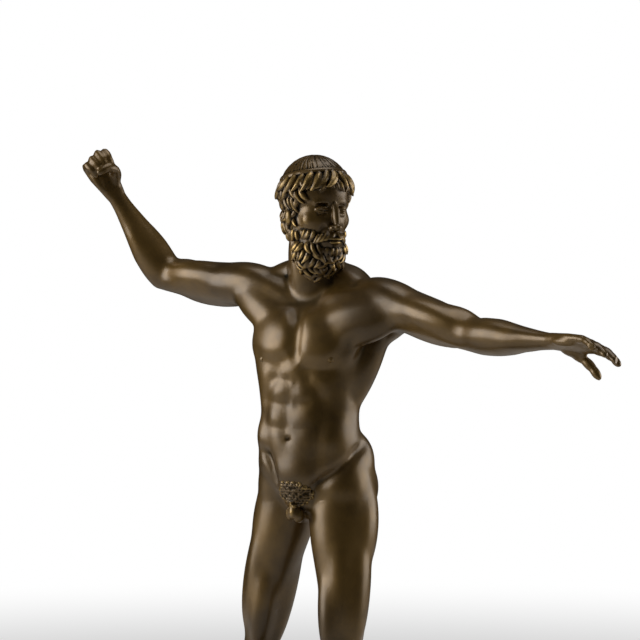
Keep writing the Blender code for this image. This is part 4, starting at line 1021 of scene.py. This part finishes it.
def placeGrain(tree, coords, size, pits):
    made = tree.nodes.new("ShaderNodeGroup")
    made.node_tree = surfaceGrain
    made.inputs["Size"].default_value = size
    made.inputs["Pits"].default_value = pits
    tree.links.new(coords, made.inputs["Coordinates"])
    return made


def attribute(tree, name):
    made = tree.nodes.new("ShaderNodeAttribute")
    made.attribute_name = name
    return made.outputs["Fac"]


patina = {
    # the darkest colour, laid into the hollows: partly the dark patina a bronze keeps there, partly painted
    # shade where creases and recesses fall dark
    "hollowPatinaAndShade": (0.006, 0.004, 0.001),
    "dark": (0.056, 0.032, 0.006),
    "body": (0.155, 0.093, 0.020),
    "rubbed": (0.60, 0.42, 0.15),
    "metallic": 0.45,
    "coat": 0.8,
    "coatTint": (1.0, 0.92, 0.80),
    "specularTint": (1.0, 0.78, 0.50),
    "roughness": (0.38, 0.48),
    "coatRoughness": 0.30,
    "grain": (900.0, 0.35),           # size and pits
    "mottle": (22, 4, 0.6),           # noise: scale, detail, roughness
    "cloud": (9, 3, 0.55),
    "bump": (0.25, 0.0004),
}


def surfaceBump(tree, shader, height, strength, distance):
    bump = tree.nodes.new("ShaderNodeBump")
    bump.inputs["Strength"].default_value = strength
    bump.inputs["Distance"].default_value = distance
    tree.links.new(height, bump.inputs["Height"])
    tree.links.new(bump.outputs["Normal"], shader.inputs["Normal"])


def bronzeMaterial():
    made, tree, shader = newMaterial("patinatedBronze")
    coords = tree.nodes.new("ShaderNodeTexCoord").outputs["Object"]
    bend = attribute(tree, "bend")
    depth = attribute(tree, "depth")
    grain = placeGrain(tree, coords, *patina["grain"])
    mottle = noise(tree, coords, *patina["mottle"])
    cloud = noise(tree, coords, *patina["cloud"])
    tone = ranged(tree, maths(tree, "ADD", mottle, cloud), 0.75, 1.25)
    colour = mixed(tree, tone, patina["dark"], patina["body"])
    hairy = attribute(tree, "hairy")
    # hollows: fine crevices of hair and curls and broad dips of the skin are darkened towards near black,
    # partly dark patina and partly painted shade; there the coat and specular are lowered too
    fine = maths(tree, "MULTIPLY", ranged(tree, bend, 0.02, 0.22), hairy)
    hollowPatinaShade = maths(tree, "MAXIMUM", fine, ranged(tree, depth, 0.20, 1.50, 0, 0.8))
    wear = maths(tree, "MULTIPLY", ranged(tree, bend, -0.12, -0.45), ranged(tree, depth, -0.30, -0.75))
    wear = maths(tree, "MULTIPLY", wear, ranged(tree, mottle, 0.3, 0.6, 0.35, 0.9))
    wear = maths(tree, "MULTIPLY", wear, ranged(tree, hairy, 0, 1, 0.08, 1.0))
    colour = mixed(tree, hollowPatinaShade, colour, patina["hollowPatinaAndShade"])
    colour = mixed(tree, wear, colour, patina["rubbed"])
    tree.links.new(colour, shader.inputs["Base Color"])
    rough = ranged(tree, grain.outputs["Mottle"], 0.3, 0.7, *patina["roughness"])
    rough = maths(tree, "ADD", rough, maths(tree, "MULTIPLY", hollowPatinaShade, 0.25))
    tree.links.new(rough, shader.inputs["Roughness"])
    tree.links.new(ranged(tree, wear, 0, 1, patina["metallic"], 1.0), shader.inputs["Metallic"])
    tree.links.new(ranged(tree, hollowPatinaShade, 0, 1, patina["coat"], 0.1), shader.inputs["Coat Weight"])
    tree.links.new(ranged(tree, hollowPatinaShade, 0, 1, 0.5, 0.15), shader.inputs["Specular IOR Level"])
    shader.inputs["Coat Roughness"].default_value = patina["coatRoughness"]
    shader.inputs["Coat Tint"].default_value = (*patina["coatTint"], 1)
    shader.inputs["Specular Tint"].default_value = (*patina["specularTint"], 1)
    surfaceBump(tree, shader, grain.outputs["Height"], *patina["bump"])
    return made


stone = {
    "colours": ((0.012, 0.012, 0.013), (0.030, 0.029, 0.028)),
    "vein": (0.25, 0.24, 0.22),
    "veins": (26, 6, 0.65),           # noise: scale, detail, roughness
    "veinWidth": 0.012,
    "veinShare": 0.30,
    "roughness": (0.16, 0.30),
    "grain": (500.0, 0.2),            # size and pits
    "bump": (0.08, 0.0003),
}


def stoneMaterial():
    made, tree, shader = newMaterial("blackStone")
    coords = tree.nodes.new("ShaderNodeTexCoord").outputs["Object"]
    grain = placeGrain(tree, coords, *stone["grain"])
    veins = noise(tree, coords, *stone["veins"])
    away = maths(tree, "ABSOLUTE", maths(tree, "SUBTRACT", veins, 0.5), 0)
    vein = ranged(tree, away, 0.0, stone["veinWidth"], stone["veinShare"], 0.0)
    colour = mixed(tree, grain.outputs["Mottle"], *stone["colours"])
    colour = mixed(tree, vein, colour, stone["vein"])
    tree.links.new(colour, shader.inputs["Base Color"])
    rough = ranged(tree, grain.outputs["Mottle"], 0.3, 0.7, *stone["roughness"])
    tree.links.new(rough, shader.inputs["Roughness"])
    surfaceBump(tree, shader, grain.outputs["Height"], *stone["bump"])
    return made


bronzeFigure.data.materials.clear()
bronzeFigure.data.materials.append(bronzeMaterial())
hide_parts("figure")
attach(bronzeFigure, "root")
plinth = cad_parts["plinth"]
for place in plinth.material_slots:
    place.material = stoneMaterial()
print("materials done")

# Studio: pale floor, soft light, and a camera at the photograph's angle
studio = {
    "floor": (0.80, 0.80, 0.80),
    "floorRadius": 30,
    "fade": (0.45, 1.9),   # from lit floor to the backdrop's white, metres from the middle
    "backdrop": 1.0,       # what the camera sees behind
    "ambient": 0.07,       # what lights the floor
    "reflected": 0.03,     # what the bronze mirrors between the soft boxes
    "aim": (0, 0, 0.36),
    "softBoxes": (         # name, place, width and height, power
        ("key", (-1.35, -1.05, 0.74), (1.3, 1.15), 21),
        ("fill", (1.3, 1.1, 0.65), (1.5, 1.1), 14),
        ("top", (0.1, 0.1, 2.0), (1.2, 1.2), 9),
    ),
}


def paleFloor():
    bm = bmesh.new()
    bmesh.ops.create_circle(bm, cap_ends=True, segments=128, radius=studio["floorRadius"])
    mesh = bpy.data.meshes.new("floor")
    bm.to_mesh(mesh)
    bm.free()
    obj = newObject("floor", mesh)
    made, tree, shader = newMaterial("paleFloor")
    place = tree.nodes.new("ShaderNodeTexCoord").outputs["Object"]
    length = tree.nodes.new("ShaderNodeVectorMath")
    length.operation = "LENGTH"
    tree.links.new(place, length.inputs[0])
    far = ranged(tree, length.outputs["Value"], *studio["fade"])
    tree.links.new(mixed(tree, far, studio["floor"], (0.0, 0.0, 0.0)), shader.inputs["Base Color"])
    seen = tree.nodes.new("ShaderNodeLightPath").outputs["Is Camera Ray"]
    tree.links.new(maths(tree, "MULTIPLY", far, seen), shader.inputs["Emission Strength"])
    shader.inputs["Emission Color"].default_value = (1, 1, 1, 1)
    shader.inputs["Specular IOR Level"].default_value = 0
    shader.inputs["Roughness"].default_value = 0.9
    mesh.materials.append(made)


def surround():
    world = bpy.data.worlds.new("surround")
    world.use_nodes = True
    tree = world.node_tree
    tree.nodes.clear()
    which = tree.nodes.new("ShaderNodeLightPath")
    ambient = studio["ambient"]
    strength = maths(tree, "MULTIPLY", which.outputs["Is Glossy Ray"], studio["reflected"] - ambient)
    strength = maths(tree, "ADD", strength, ambient)
    seen = maths(tree, "MULTIPLY", which.outputs["Is Camera Ray"], studio["backdrop"] - ambient)
    light = tree.nodes.new("ShaderNodeBackground")
    out = tree.nodes.new("ShaderNodeOutputWorld")
    light.inputs["Color"].default_value = (1, 1, 1, 1)
    tree.links.new(maths(tree, "ADD", strength, seen), light.inputs["Strength"])
    tree.links.new(light.outputs[0], out.inputs["Surface"])
    scene.world = world


def softBox(name, place, size, power):
    light = bpy.data.lights.new(name, "AREA")
    light.shape = "RECTANGLE"
    light.size, light.size_y = size
    light.energy = power
    obj = bpy.data.objects.new(name, light)
    scene.collection.objects.link(obj)
    obj.location = place
    obj.rotation_euler = (Vector(studio["aim"]) - Vector(place)).to_track_quat("-Z", "Y").to_euler()


paleFloor()
surround()
for given in studio["softBoxes"]:
    softBox(*given)

cameraView = {
    "azimuth": photoAzimuth,
    "distance": 1.6,
    "height": 0.414,
    "pixelsPerMetre": 1367,    # at the torso, in a picture as wide as the photograph
    "imageWidth": 640,
    "sensor": 36,
    "shift": 0.0125,
}


def placeCamera():
    camera = bpy.data.cameras.new("camera")
    camera.sensor_width = cameraView["sensor"]
    camera.lens = (cameraView["pixelsPerMetre"] * cameraView["distance"] / cameraView["imageWidth"]
                   * cameraView["sensor"])
    camera.shift_x = cameraView["shift"]
    turn = math.radians(cameraView["azimuth"])
    back = Vector((math.sin(turn), -math.cos(turn), 0))
    obj = bpy.data.objects.new("camera", camera)
    scene.collection.objects.link(obj)
    obj.location = Vector((*figure["standAt"], cameraView["height"])) + back * cameraView["distance"]
    obj.rotation_euler = (-back).to_track_quat("-Z", "Y").to_euler()
    scene.camera = obj


placeCamera()
scene.view_settings.view_transform = "Standard"
print("studio done")
